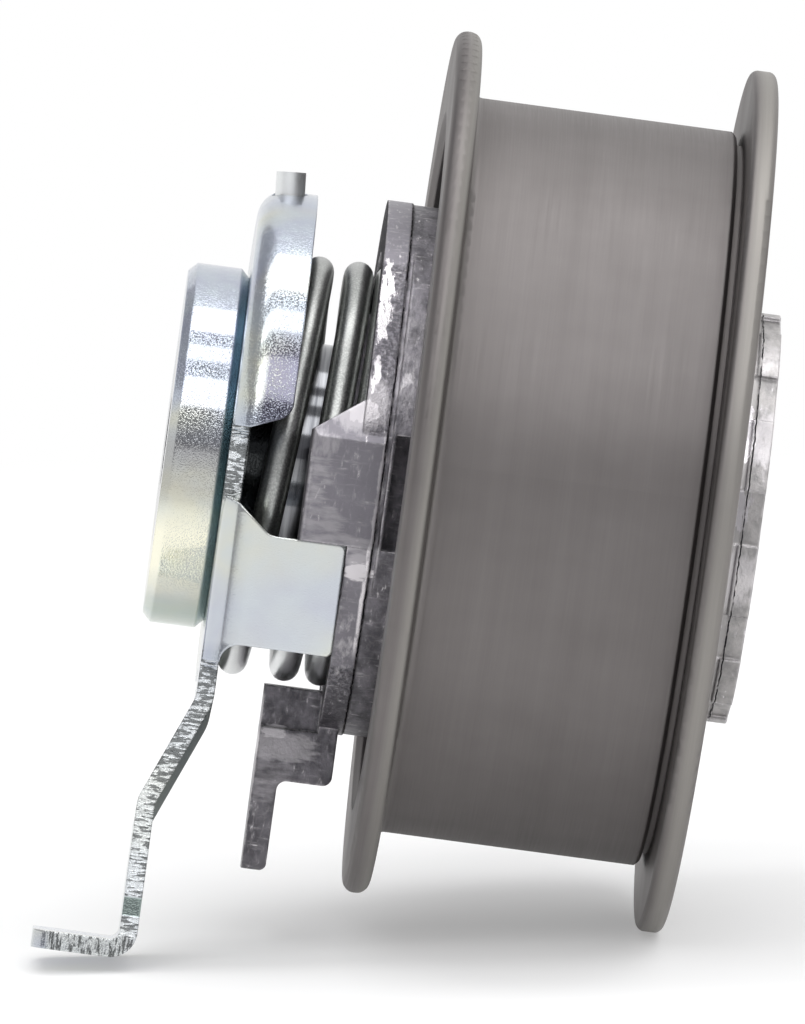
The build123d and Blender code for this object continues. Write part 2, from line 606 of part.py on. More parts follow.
def adjusting_eccentric():
    eccentric = cylinder(SPIGOT_RADIUS, 0, SEAT_THICKNESS, PIVOT_AXIS)
    eccentric += cylinder(JOURNAL_RADIUS, SEAT_THICKNESS, HEAD_REAR, PIVOT_AXIS)
    parting = HEAD_REAR + HEAD_PARTING
    head = cylinder(HEAD_RADIUS - HEAD_STEP, HEAD_REAR, parting, PIVOT_AXIS)
    head += cylinder(HEAD_RADIUS, parting, HEAD_FRONT, PIVOT_AXIS)
    for index in range(NOTCH_COUNT):
        head -= head_notch(index)
    floor = HEAD_FRONT - HEAD_RECESS
    recess = cylinder(HEAD_RADIUS - HEAD_RIM, floor, HEAD_FRONT + OVERRUN, PIVOT_AXIS)
    head -= recess - bore(NUT_BOSS_RADIUS, floor, HEAD_FRONT + OVERRUN, STUD_AXIS)
    for side in (-1, 1):
        centre = (PIVOT_AXIS[0], PIVOT_AXIS[1] + side * WRENCH_HOLE_OFFSET)
        head -= cylinder(WRENCH_HOLE_RADIUS, floor - WRENCH_HOLE_DEPTH, HEAD_FRONT, centre)
    return eccentric + head - bore(STUD_BORE_RADIUS, 0, HEAD_FRONT, STUD_AXIS)


def plain_bush():
    start = BOSS_REAR
    end = BARREL_FRONT - BUSH_INSET
    bush = cylinder(BUSH_OUTER_RADIUS, start, end, PIVOT_AXIS)
    bush -= bore(BUSH_BORE_RADIUS, start, end, PIVOT_AXIS)
    across = (-BUSH_OUTER_RADIUS - OVERRUN, 0)
    along = (start - OVERRUN, end + OVERRUN)
    return bush - block(across, along, (-BUSH_SEAM / 2, BUSH_SEAM / 2), PIVOT_AXIS)


def thrust_washer():
    washer = cylinder(WASHER_RADIUS, BARREL_FRONT, HEAD_REAR, PIVOT_AXIS)
    return washer - bore(JOURNAL_RADIUS + JOURNAL_CLEARANCE, BARREL_FRONT, HEAD_REAR, PIVOT_AXIS)


def groove(major_radius):
    """The ring-shaped ball track, as a solid to cut."""
    plane = Plane(origin=(PULLEY_AXIS[0] + major_radius, BEARING_MIDDLE, PULLEY_AXIS[1]))
    return revolve(plane * Circle(GROOVE_RADIUS), axis_line(PULLEY_AXIS), 360)


def bearing_inner_ring():
    corner = RING_CHAMFER
    profile = [
        (BEARING_BORE_RADIUS, BEARING_REAR + corner),
        (BEARING_BORE_RADIUS + corner, BEARING_REAR),
        (INNER_LAND_RADIUS, BEARING_REAR),
        (INNER_LAND_RADIUS, BEARING_FRONT),
        (BEARING_BORE_RADIUS + corner, BEARING_FRONT),
        (BEARING_BORE_RADIUS, BEARING_FRONT - corner),
    ]
    shift = GROOVE_RADIUS - BALL_RADIUS - RACE_CLEARANCE
    return turned(profile, PULLEY_AXIS) - groove(PITCH_RADIUS + shift)


def bearing_outer_ring():
    corner = RING_CHAMFER
    profile = [
        (SEAL_SEAT_RADIUS, BEARING_REAR),
        (BEARING_OUTER_RADIUS - corner, BEARING_REAR),
        (BEARING_OUTER_RADIUS, BEARING_REAR + corner),
        (BEARING_OUTER_RADIUS, BEARING_FRONT - corner),
        (BEARING_OUTER_RADIUS - corner, BEARING_FRONT),
        (SEAL_SEAT_RADIUS, BEARING_FRONT),
        (SEAL_SEAT_RADIUS, BEARING_FRONT - SEAL_DEPTH),
        (OUTER_LAND_RADIUS, BEARING_FRONT - SEAL_DEPTH),
        (OUTER_LAND_RADIUS, BEARING_REAR + SEAL_DEPTH),
        (SEAL_SEAT_RADIUS, BEARING_REAR + SEAL_DEPTH),
    ]
    shift = GROOVE_RADIUS - BALL_RADIUS - RACE_CLEARANCE
    return turned(profile, PULLEY_AXIS) - groove(PITCH_RADIUS - shift)


def bearing_seal(outside, inside):
    """A sheet-stiffened rubber seal between two stations, with a thinner stepped lip."""
    lip = INNER_LAND_RADIUS + SEAL_CLEARANCE
    step = (outside - inside) / 3
    profile = [
        (lip, outside - step),
        (lip + SEAL_LIP_WIDTH, outside - step),
        (lip + SEAL_LIP_WIDTH + abs(step), outside),
        (SEAL_SEAT_RADIUS, outside),
        (SEAL_SEAT_RADIUS, inside),
        (lip, inside),
    ]
    return turned(profile, PULLEY_AXIS)


def ball_place(index):
    """The place of one ball: its centre, with the local z axis pointing away from the pulley's axis."""
    angle = 360 / BALL_COUNT * index
    centre = Location((PULLEY_AXIS[0], BEARING_MIDDLE, PULLEY_AXIS[1]))
    return centre * Rot(0, angle, 0) * Pos(0, 0, PITCH_RADIUS)


def ball(index):
    return ball_place(index) * Sphere(BALL_RADIUS)


def ball_cage():
    """A crown cage: a back ring with a round pocket for each ball, open to the front."""
    back = BEARING_REAR + SEAL_DEPTH + CAGE_SEAL_GAP
    front = BEARING_MIDDLE + CAGE_HORN
    cage = cylinder(PITCH_RADIUS + CAGE_HALF, back, front, PULLEY_AXIS)
    cage -= bore(PITCH_RADIUS - CAGE_HALF, back, front, PULLEY_AXIS)
    for index in range(BALL_COUNT):
        cage -= ball_place(index) * Cylinder(POCKET_RADIUS, 2 * CAGE_HALF + 2 * OVERRUN)
    return cage


def pulley_shell():
    seat_rear = BEARING_REAR - SEAT_LEAD
    lip_front = BEARING_FRONT + FRONT_LIP_THICKNESS
    lip_radius = BEARING_OUTER_RADIUS - FRONT_LIP_HEIGHT
    spigot_front = FRONT_FLANGE_FRONT + STAKE_HEIGHT
    cavity = FLANGE_SEAT_RADIUS - SPIGOT_WALL
    profile = [
        (OPENING_RADIUS + OPENING_CHAMFER, REAR_FLANGE_REAR),
        (FLANGE_RADIUS, REAR_FLANGE_REAR),
        (FLANGE_RADIUS, REAR_FLANGE_FRONT),
        (BELT_RADIUS, REAR_FLANGE_FRONT),
        (BELT_RADIUS, BELT_FRONT - BELT_CHAMFER),
        (BELT_RADIUS - BELT_CHAMFER, BELT_FRONT),
        (BELT_RADIUS - GROOVE_DEPTH, BELT_FRONT),
        (BELT_RADIUS - GROOVE_DEPTH, FRONT_FLANGE_REAR),
        (FLANGE_SEAT_RADIUS, FRONT_FLANGE_REAR),
        (FLANGE_SEAT_RADIUS, spigot_front),
        (cavity, spigot_front),
        (cavity, lip_front),
        (lip_radius, lip_front),
        (lip_radius, BEARING_FRONT),
        (BEARING_OUTER_RADIUS, BEARING_FRONT),
        (BEARING_OUTER_RADIUS, seat_rear),
        (OPENING_RADIUS, seat_rear - SEAT_LEAD),
        (OPENING_RADIUS, REAR_FLANGE_REAR + OPENING_CHAMFER),
    ]
    shell = turned(profile, PULLEY_AXIS)
    rims = circle_edges(shell, FLANGE_RADIUS, REAR_FLANGE_REAR)
    rims += circle_edges(shell, FLANGE_RADIUS, REAR_FLANGE_FRONT)
    shell = fillet(rims, REAR_FLANGE_ROUND)
    return fillet(circle_edges(shell, BELT_RADIUS, REAR_FLANGE_FRONT), REAR_FLANGE_FILLET)


def front_flange():
    flange = cylinder(FLANGE_RADIUS, FRONT_FLANGE_REAR, FRONT_FLANGE_FRONT, PULLEY_AXIS)
    rims = circle_edges(flange, FLANGE_RADIUS, FRONT_FLANGE_REAR)
    rims += circle_edges(flange, FLANGE_RADIUS, FRONT_FLANGE_FRONT)
    flange = fillet(rims, FRONT_FLANGE_ROUND)
    return flange - bore(FLANGE_SEAT_RADIUS, FRONT_FLANGE_REAR, FRONT_FLANGE_FRONT, PULLEY_AXIS)


def export_all(parts):
    os.makedirs("parts", exist_ok=True)
    for name, solid in parts.items():
        solid.label = name
        export_step(solid, os.path.join("parts", name + ".step"))


def main():
    parts = {
        "seat_disc": seat_disc(),
        "base_plate": base_plate(),
        "torsion_spring": torsion_spring(),
        "tension_lever": tension_lever(),
        "adjusting_eccentric": adjusting_eccentric(),
        "plain_bush": plain_bush(),
        "thrust_washer": thrust_washer(),
        "bearing_inner_ring": bearing_inner_ring(),
        "bearing_outer_ring": bearing_outer_ring(),
        "rear_seal": bearing_seal(BEARING_REAR + SEAL_INSET, BEARING_REAR + SEAL_DEPTH),
        "front_seal": bearing_seal(BEARING_FRONT - SEAL_INSET, BEARING_FRONT - SEAL_DEPTH),
        "ball_cage": ball_cage(),
        "pulley_shell": pulley_shell(),
        "front_flange": front_flange(),
    }
    for index in range(BALL_COUNT):
        parts[f"ball_{index + 1:02d}"] = ball(index)
    export_all(parts)


main()
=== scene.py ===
"""Looks of an automatic timing belt tensioner: zinc plate, die casting, spring wire and turned steel."""

import logging
import math
from dataclasses import dataclass
from enum import Enum
from typing import Any, Sequence

import bpy
from mathutils import Matrix, Vector

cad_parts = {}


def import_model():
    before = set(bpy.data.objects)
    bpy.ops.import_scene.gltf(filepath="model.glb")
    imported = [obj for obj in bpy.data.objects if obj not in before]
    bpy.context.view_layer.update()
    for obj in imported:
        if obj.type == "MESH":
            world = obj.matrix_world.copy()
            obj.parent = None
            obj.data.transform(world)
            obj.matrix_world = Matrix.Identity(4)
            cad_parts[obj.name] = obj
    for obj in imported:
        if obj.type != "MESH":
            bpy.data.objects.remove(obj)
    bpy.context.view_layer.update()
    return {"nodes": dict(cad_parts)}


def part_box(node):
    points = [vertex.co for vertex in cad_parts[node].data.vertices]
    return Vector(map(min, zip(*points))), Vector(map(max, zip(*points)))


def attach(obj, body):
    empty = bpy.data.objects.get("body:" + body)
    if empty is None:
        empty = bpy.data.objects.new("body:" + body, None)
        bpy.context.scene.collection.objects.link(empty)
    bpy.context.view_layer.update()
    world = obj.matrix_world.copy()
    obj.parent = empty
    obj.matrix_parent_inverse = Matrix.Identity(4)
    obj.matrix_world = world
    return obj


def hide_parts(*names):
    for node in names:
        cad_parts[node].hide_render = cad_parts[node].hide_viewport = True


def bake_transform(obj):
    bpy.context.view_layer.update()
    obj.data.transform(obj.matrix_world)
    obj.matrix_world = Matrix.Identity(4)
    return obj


log = logging.getLogger("tensioner")

Material = bpy.types.Material
Object = bpy.types.Object
Tree = bpy.types.NodeTree
Node = bpy.types.Node
Socket = bpy.types.NodeSocket
Span = tuple[float, float]
Triple = tuple[float, float, float]

MM = 0.001
IMAGE_HEIGHT = 1024
WHITE = (1, 1, 1, 1)
EVEN = (1, 1, 1)
# The axis of the eccentric's journal and of the lever, as x and z in millimetres.
PIVOT = (-3.6, 0.0)
# The stations of the two castings' parting lines, in millimetres.
LEVER_PARTING = 20.41
HEAD_PARTING = 54.9


class Body(Enum):
    """The moving groups that scene pieces ride on."""

    ADJUSTER = "adjuster"
    BASE = "base"
    LEVER = "lever"


def linear(hex_colour: str) -> tuple[float, float, float, float]:
    """Turns an sRGB hex colour into linear light.

    Args:
        hex_colour: six hex digits, such as "c8cdd0".

    Returns:
        The colour as red, green, blue and alpha.
    """
    channels = []
    for start in (0, 2, 4):
        value = int(hex_colour[start : start + 2], 16) / 255
        channels.append(value / 12.92 if value <= 0.04045 else ((value + 0.055) / 1.055) ** 2.4)
    return channels[0], channels[1], channels[2], 1.0


def add_node(tree: Tree, kind: str, inputs: dict[Any, Any] | None = None, **settings: Any) -> Node:
    """Adds one node with its settings and its links.

    Args:
        tree: the node tree to add to.
        kind: the node's type name.
        inputs: values or output sockets by input name or index.
        settings: the node's own properties.

    Returns:
        The new node.
    """
    node = tree.nodes.new(kind)
    for name, value in settings.items():
        setattr(node, name, value)
    for key, value in (inputs or {}).items():
        socket = node.inputs[key]
        if isinstance(value, Socket):
            tree.links.new(value, socket)
        else:
            socket.default_value = value
    return node


class Surface:
    """A material under construction, with the few patterns that the finishes share."""

    noise_roughness = 0.6
    # A rounded normal this far from the true one, as their cosine, is on an edge.
    edge_cosines = (0.985, 0.86)

    def __init__(self, name: str) -> None:
        """Starts an empty node material of that name."""
        self.material = bpy.data.materials.new(name)
        self.material.use_nodes = True
        self.tree = self.material.node_tree
        self.tree.nodes.clear()
        coordinates = self.add("TexCoord")
        self.place = coordinates.outputs["Object"]
        self.normal = coordinates.outputs["Normal"]

    def add(self, kind: str, inputs: dict[Any, Any] | None = None, **settings: Any) -> Node:
        """Adds one shader node, whose kind is given without the prefix."""
        return add_node(self.tree, "ShaderNode" + kind, inputs, **settings)

    def noise(self, size_mm: float, stretch: Sequence[float] = EVEN, detail: float = 3.0) -> Socket:
        """Adds a noise.

        Args:
            size_mm: how far across its lumps are, about.
            stretch: how much longer than that they are along x, y and z.
            detail: how many finer layers it has.

        Returns:
            The noise, which is around 0.5.
        """
        scale = tuple(1 / (size_mm * MM * s) for s in stretch)
        moved = self.add("Mapping", {"Vector": self.place, "Scale": scale})
        inputs = {"Vector": moved.outputs[0], "Scale": 1.0, "Detail": detail, "Roughness": self.noise_roughness}
        return self.add("TexNoise", inputs).outputs["Fac"]

    def ramp(self, value: Any, low: float, high: float, to_low: float = 0.0, to_high: float = 1.0) -> Socket:
        """Maps a value from one range to another, clamped."""
        inputs = {"Value": value, "From Min": low, "From Max": high, "To Min": to_low, "To Max": to_high}
        return self.add("MapRange", inputs).outputs["Result"]

    def math(self, operation: str, first: Any, second: Any = 0.0) -> Socket:
        """One arithmetic step."""
        return self.add("Math", {0: first, 1: second}, operation=operation).outputs[0]

    def times(self, first: Any, second: Any) -> Socket:
        """A product, which is where both of two masks lie."""
        return self.math("MULTIPLY", first, second)

    def either(self, first: Any, second: Any) -> Socket:
        """The larger of two values, which is where one or the other mask lies."""
        return self.math("MAXIMUM", first, second)

    def blend(self, factor: Any, first: Any, second: Any) -> Socket:
        """A mix of two colours."""
        return self.add("Mix", {0: factor, 6: first, 7: second}, data_type="RGBA").outputs[2]

    def between(self, factor: Any, first: Socket, second: Socket) -> Socket:
        """A mix of two normals."""
        return self.add("Mix", {0: factor, 4: first, 5: second}, data_type="VECTOR").outputs[1]

    def over(self, colour: Socket, mask: Socket, hex_colour: str, share: float = 1.0) -> Socket:
        """Lays a hex colour over another where a mask says, or a share of it."""
        factor = mask if share == 1.0 else self.times(mask, share)
        return self.blend(factor, colour, linear(hex_colour))

    def mottled(self, value: Socket, low: float, high: float, dark: str, light: str) -> Socket:
        """A colour that goes from dark to light between two levels of a pattern."""
        return self.blend(self.ramp(value, low, high), linear(dark), linear(light))

    def along(self, axis: str) -> Socket:
        """The place along one of the object's axes, in millimetres."""
        parts = self.add("SeparateXYZ", {0: self.place})
        return self.math("DIVIDE", parts.outputs[axis], MM)

    def leaning(self, axis: str) -> Socket:
        """How squarely the surface faces along an axis, from -1 to 1."""
        return self.add("SeparateXYZ", {0: self.normal}).outputs[axis]

    def band(self, value: Any, low: float, high: float, soft: float) -> Socket:
        """1 between two values, with soft ends."""
        rise = self.ramp(value, low - soft, low + soft)
        return self.times(rise, self.ramp(value, high + soft, high - soft))

    def spot(self, centre: Triple, reach: Triple) -> Socket:
        """1 in the middle of an ellipsoid given in millimetres, and 0 from its skin outwards."""
        scale = tuple(1 / (r * MM) for r in reach)
        shift = tuple(-c / r for c, r in zip(centre, reach))
        moved = self.add("Mapping", {"Vector": self.place, "Location": shift, "Scale": scale})
        length = self.add("VectorMath", {0: moved.outputs[0]}, operation="LENGTH").outputs["Value"]
        return self.ramp(length, 1.0, 0.5)

    def rounded(self, width_mm: float) -> Socket:
        """A normal that rounds sharp edges over that width."""
        return self.add("Bevel", {"Radius": width_mm * MM}, samples=6).outputs[0]

    def edges(self, soft: Socket) -> Socket:
        """1 on the sharp edges that a rounded normal rounds."""
        true = self.add("NewGeometry").outputs["Normal"]
        turn = self.add("VectorMath", {0: soft, 1: true}, operation="DOT_PRODUCT")
        return self.ramp(turn.outputs["Value"], *self.edge_cosines)

    def bump(self, height: Any, depth_mm: float, strength: float = 1.0, under: Any = None) -> Socket:
        """A bump of that depth, over another normal if one is given."""
        inputs = {"Height": height, "Distance": depth_mm * MM, "Strength": strength}
        if under is not None:
            inputs["Normal"] = under
        return self.add("Bump", inputs).outputs["Normal"]

    def finish(self, **inputs: Any) -> Material:
        """Closes the material with one Principled shader, whose inputs have underscores for spaces."""
        named = {key.replace("_", " "): value for key, value in inputs.items()}
        return self.close(self.add("BsdfPrincipled", named))

    def close(self, shader: Node) -> Material:
        """Closes the material with that shader."""
        self.add("OutputMaterial", {"Surface": shader.outputs[0]})
        return self.material


@dataclass(frozen=True)
class TurnedSteel:
    """Bare low-carbon steel, fine turned and then tumbled: an even, satin, warm grey."""

    name: str = "turned_steel"
    light: str = "7d7978"
    dark: str = "726e6d"
    edge: str = "a29e9c"
    # The paler band round the flanges' rims is a painted highlight.
    rim_highlight: str = "93908c"
    line_mm: float = 0.16
    line_depth_mm: float = 0.003
    pass_mm: float = 2.4
    patch_mm: float = 9.0
    patch_share: float = 0.6
    edge_mm: float = 0.25
    edge_share: float = 0.6
    rim_highlights_mm: tuple[Span, Span] = ((51.2, 52.7), (23.7, 24.8))
    rim_highlight_fade_mm: float = 0.5
    roughness: Span = (0.46, 0.54)
    anisotropy: float = 0.3

    def material(self) -> Material:
        """Builds the finish."""
        s = Surface(self.name)
        # The tool lines run round the axis, so they are long in x and z and short in y.
        lines = s.noise(self.line_mm, (60, 1, 60), 2.0)
        passes = s.noise(self.pass_mm, (40, 1, 40), 2.0)
        patches = s.noise(self.patch_mm, (1, 1.6, 1))
        tone = s.math("ADD", s.times(patches, self.patch_share), s.times(passes, 1 - self.patch_share))
        colour = s.mottled(tone, 0.3, 0.7, self.dark, self.light)
        soft = s.rounded(self.edge_mm)
        colour = s.over(colour, s.edges(soft), self.edge, self.edge_share)
        # Each flange's rim has a paler band round it: a painted highlight.
        front, rear = (s.band(s.along("Y"), *rim_highlight, self.rim_highlight_fade_mm) for rim_highlight in self.rim_highlights_mm)
        colour = s.over(colour, s.either(front, rear), self.rim_highlight)
        tangent = s.add("Tangent", direction_type="RADIAL", axis="Y").outputs[0]
        return s.finish(
            Base_Color=colour, Metallic=1.0, Roughness=s.ramp(lines, 0.3, 0.7, *self.roughness),
            Anisotropic=self.anisotropy, Tangent=tangent, Normal=s.bump(lines, self.line_depth_mm, 0.4, soft),
        )


class Cut(Enum):
    """How a zinc plated piece got its outline."""

    SHEARED = "sheared"
    TURNED = "turned"


@dataclass(frozen=True)
class ZincPlate:
    """Bright zinc plating on steel: blue white under a faint yellow and violet film, and grainy in the light.

    The seat disc was turned, and the base plate was punched from sheet and bent. Places are in millimetres.
    """

    name: str
    cut: Cut
    base: str = "c3ccd2"
    yellow: str = "d6d2b6"
    violet: str = "aeb0c6"
    teal: str = "66878f"
    disc_shade: str = "9c9892"
    straw_highlight: str = "f2f0dc"
    greenish: str = "9fb0a6"
    side_reflection: str = "42554f"
    shorn: str = "4a4d4c"
    pale_edge_and_tab_highlight: str = "e3e6e6"
    collar_dark: str = "37393a"
    skirt_shade: str = "5b596b"
    grain_mm: float = 0.15
    grain_depth_mm: Span = (0.012, 0.010)
    wave_mm: float = 4.0
    wave_depth_mm: float = 0.008
    film_mm: float = 9.0
    edge_mm: float = 0.3
    # The turned disc, from the top down, and the bevel at its rear.
    film_turns: Span = (0.5, -6.0)
    disc_shade_z: Span = (-5.4, 1.0)
    straw_highlight_z: Span = (-13.4, -7.0)
    green_z: Span = (-14.2, -16.0)
    bevel_y: Span = (5.1, 5.95)
    # The sheet: its stop tab, plate, arm and foot.
    tab_x: Span = (17.2, 18.2)
    tab_z: Span = (-18.6, -5.2)
    tab_lean: float = 0.13
    plate_y: Span = (5.85, 7.55)
    arm_z: Span = (-19.6, -20.2)
    slope_z: Span = (-35.0, -29.0)
    side_z: Span = (-45.0, -20.0)
    dirt_z: Span = (-39.5, -37.5)
    burnished_z: Span = (-44.8, -43.0)
    foot_z: Span = (-46.6, -47.2)
    rung_mm: float = 0.26
    rung_depth_mm: float = 0.2
    # The skirt's painted shade, and the collar that the spring surrounds.
    skirt_shade_z: Span = (2.0, 10.8)
    skirt_shade_y: Span = (7.8, 8.6)
    skirt_shade_x: Span = (6.0, 14.0)
    collar_square_mm: Span = (180.0, 174.0)
    collar_y: Span = (7.6, 7.8)

    def material(self) -> Material:
        """Builds the finish."""
        s = Surface(self.name)
        # The real pits are finer than a pixel. These are just coarse enough to sparkle.
        pits = s.ramp(s.noise(self.grain_mm, EVEN, 1.0), 0.50, 0.66)
        waves = s.noise(self.wave_mm, EVEN, 2.0)
        film = s.noise(self.film_mm, (1, 1.5, 1), 1.0)
        if self.cut is Cut.TURNED:
            # The film is thicker towards the bottom, where it turns from violet to yellow.
            film = s.math("ADD", film, s.ramp(s.along("Z"), *self.film_turns, -0.16, 0.18))
        tint = s.mottled(film, 0.42, 0.62, self.violet, self.yellow)
        colour = s.blend(s.ramp(waves, 0.3, 0.7, 0.2, 0.65), linear(self.base), tint)
        low = s.bump(waves, self.wave_depth_mm, 0.5, s.rounded(self.edge_mm))
        build = self.disc if self.cut is Cut.TURNED else self.sheet
        return build(s, colour, pits, low)

    def disc(self, s: Surface, colour: Socket, pits: Socket, low: Socket) -> Material:
        """Finishes the turned disc, whose film changes colour down its height, under a band of painted shade
        and a band of painted reflection.

        Args:
            s: the material.
            colour: the plating's colour.
            pits: the plating's grain.
            low: the normal under the grain.

        Returns:
            The material.
        """
        height = s.along("Z")
        # A band round the disc's middle is darker: painted shade.
        colour = s.over(colour, s.band(height, *self.disc_shade_z, 1.2), self.disc_shade, 0.5)
        # The straw band below it is a painted reflection, pale and yellowish.
        colour = s.over(colour, s.band(height, *self.straw_highlight_z, 1.6), self.straw_highlight)
        colour = s.over(colour, s.ramp(height, *self.green_z, 0.0, 0.6), self.greenish)
        colour = s.over(colour, s.band(s.along("Y"), *self.bevel_y, 0.12), self.teal, 0.7)
        rough = s.ramp(pits, 0.0, 1.0, 0.09, 0.20)
        normal = s.bump(pits, self.grain_depth_mm[0], 0.8, low)
        return s.finish(Base_Color=colour, Metallic=1.0, Roughness=rough, Normal=normal)

    def sheet(self, s: Surface, colour: Socket, pits: Socket, low: Socket) -> Material:
        """Finishes the pressed sheet: a smooth tab, punched edges, a dull arm and a skirt with painted shade.

        It takes and returns what disc does.
        """
        height = s.along("Z")
        # The stop tab is smoother. It was bent short of square, so it shines a little downwards.
        tab = s.times(s.ramp(s.along("X"), *self.tab_x), s.band(height, *self.tab_z, 0.6))
        low = s.between(s.times(tab, self.tab_lean), low, s.bump(height, 1.0, 1.0, low))
        pits = s.times(pits, s.ramp(tab, 0.0, 1.0, 1.0, 0.12))
        face = s.times(s.ramp(s.math("ABSOLUTE", s.leaning("X")), 0.93, 0.985), s.ramp(tab, 0.5, 0.0))
        burnished = s.band(height, *self.burnished_z, 0.1)
        place, rungs, torn = self.rungs(s, height, face, burnished)
        # The tab's paler colour is a painted highlight.
        colour = s.over(colour, tab, self.pale_edge_and_tab_highlight, 0.3)
        colour = s.over(colour, s.times(face, burnished), self.greenish, 0.8)
        colour = s.over(colour, place, self.pale_edge_and_tab_highlight, 0.7)
        colour = s.over(colour, s.times(place, torn), self.shorn, 0.8)
        # The arm's side towards the pulley is dark teal grey: a painted reflection of the pulley.
        side = s.times(s.ramp(s.leaning("Y"), 0.3, 0.6), s.band(height, *self.side_z, 1.0))
        colour = s.over(colour, side, self.side_reflection, 0.9)
        # The front of the skirt is darkened in violet: painted shade.
        colour = s.over(colour, self.skirt_shade_mask(s, height, pits), self.skirt_shade)
        colour = s.over(colour, self.collar(s), self.collar_dark)
        # The slope's front face is dull, with the dirt of the engine on it.
        dirty = s.times(side, s.ramp(height, *self.dirt_z))
        rough = s.math("ADD", s.ramp(pits, 0.0, 1.0, 0.11, 0.22), s.times(place, 0.12))
        rough = s.math("ADD", rough, s.times(dirty, 0.4))
        grained = s.bump(pits, self.grain_depth_mm[1], 0.8, low)
        normal = s.bump(s.times(rungs, place), self.rung_depth_mm, 1.0, grained)
        metallic = s.ramp(dirty, 0.0, 1.0, 1.0, 0.2)
        return s.finish(Base_Color=colour, Metallic=metallic, Roughness=rough, Normal=normal)

    def rungs(self, s: Surface, height: Socket, face: Socket, smooth: Socket) -> tuple[Socket, Socket, Socket]:
        """Makes the rungs that the punch left across the sheet's edges: on the arm, the foot and the plate.

        Args:
            s: the material.
            height: the place along z.
            face: the sheet's edges.
            smooth: the burnished band across the arm, which has none.

        Returns:
            Where they lie, their pattern, and the torn gaps between them.
        """
        across_arm = s.noise(self.rung_mm, (5, 5, 1))
        across_foot = s.noise(self.rung_mm, (5, 1, 5))
        mixed = s.add("Mix", {0: s.ramp(height, *self.foot_z), 2: across_arm, 3: across_foot})
        arm = s.math("SUBTRACT", s.ramp(height, *self.arm_z), smooth)
        place = s.times(face, s.either(arm, s.band(s.along("Y"), *self.plate_y, 0.05)))
        broken = s.math("ADD", mixed.outputs[0], s.times(s.noise(0.8, EVEN, 2.0), 0.35))
        # The slope was stretched as it was bent, which opened the gaps.
        opened = s.math("ADD", broken, s.ramp(height, *self.slope_z, 0.0, 0.05))
        return place, mixed.outputs[0], s.ramp(opened, 0.68, 0.73)

    def skirt_shade_mask(self, s: Surface, height: Socket, pits: Socket) -> Socket:
        """1 on the skirt's dark violet painted shade, between the pits."""
        mask = s.times(s.band(height, *self.skirt_shade_z, 1.4), s.ramp(s.along("Y"), *self.skirt_shade_y))
        mask = s.times(mask, s.ramp(s.along("X"), *self.skirt_shade_x, 0.0, 0.9))
        return s.times(mask, s.ramp(pits, 0.0, 1.0, 1.0, 0.5))

    def collar(self, s: Surface) -> Socket:
        """1 on the drawn collar inside the spring, which is made dark."""
        across = s.math("POWER", s.math("ADD", s.along("X"), -PIVOT[0]), 2.0)
        square = s.math("ADD", across, s.math("POWER", s.along("Z"), 2.0))
        return s.times(s.ramp(square, *self.collar_square_mm), s.ramp(s.along("Y"), *self.collar_y))


@dataclass(frozen=True)
class Rub:
    """A place where a casting was rubbed bright.

    It is an ellipsoid in millimetres, with how much of it is bare, how bright that is, and whether the marks
    run along the axis.
    """

    centre: Triple
    reach: Triple
    cover: float = 0.3
    shine: float = 1.0
    streaky: bool = False


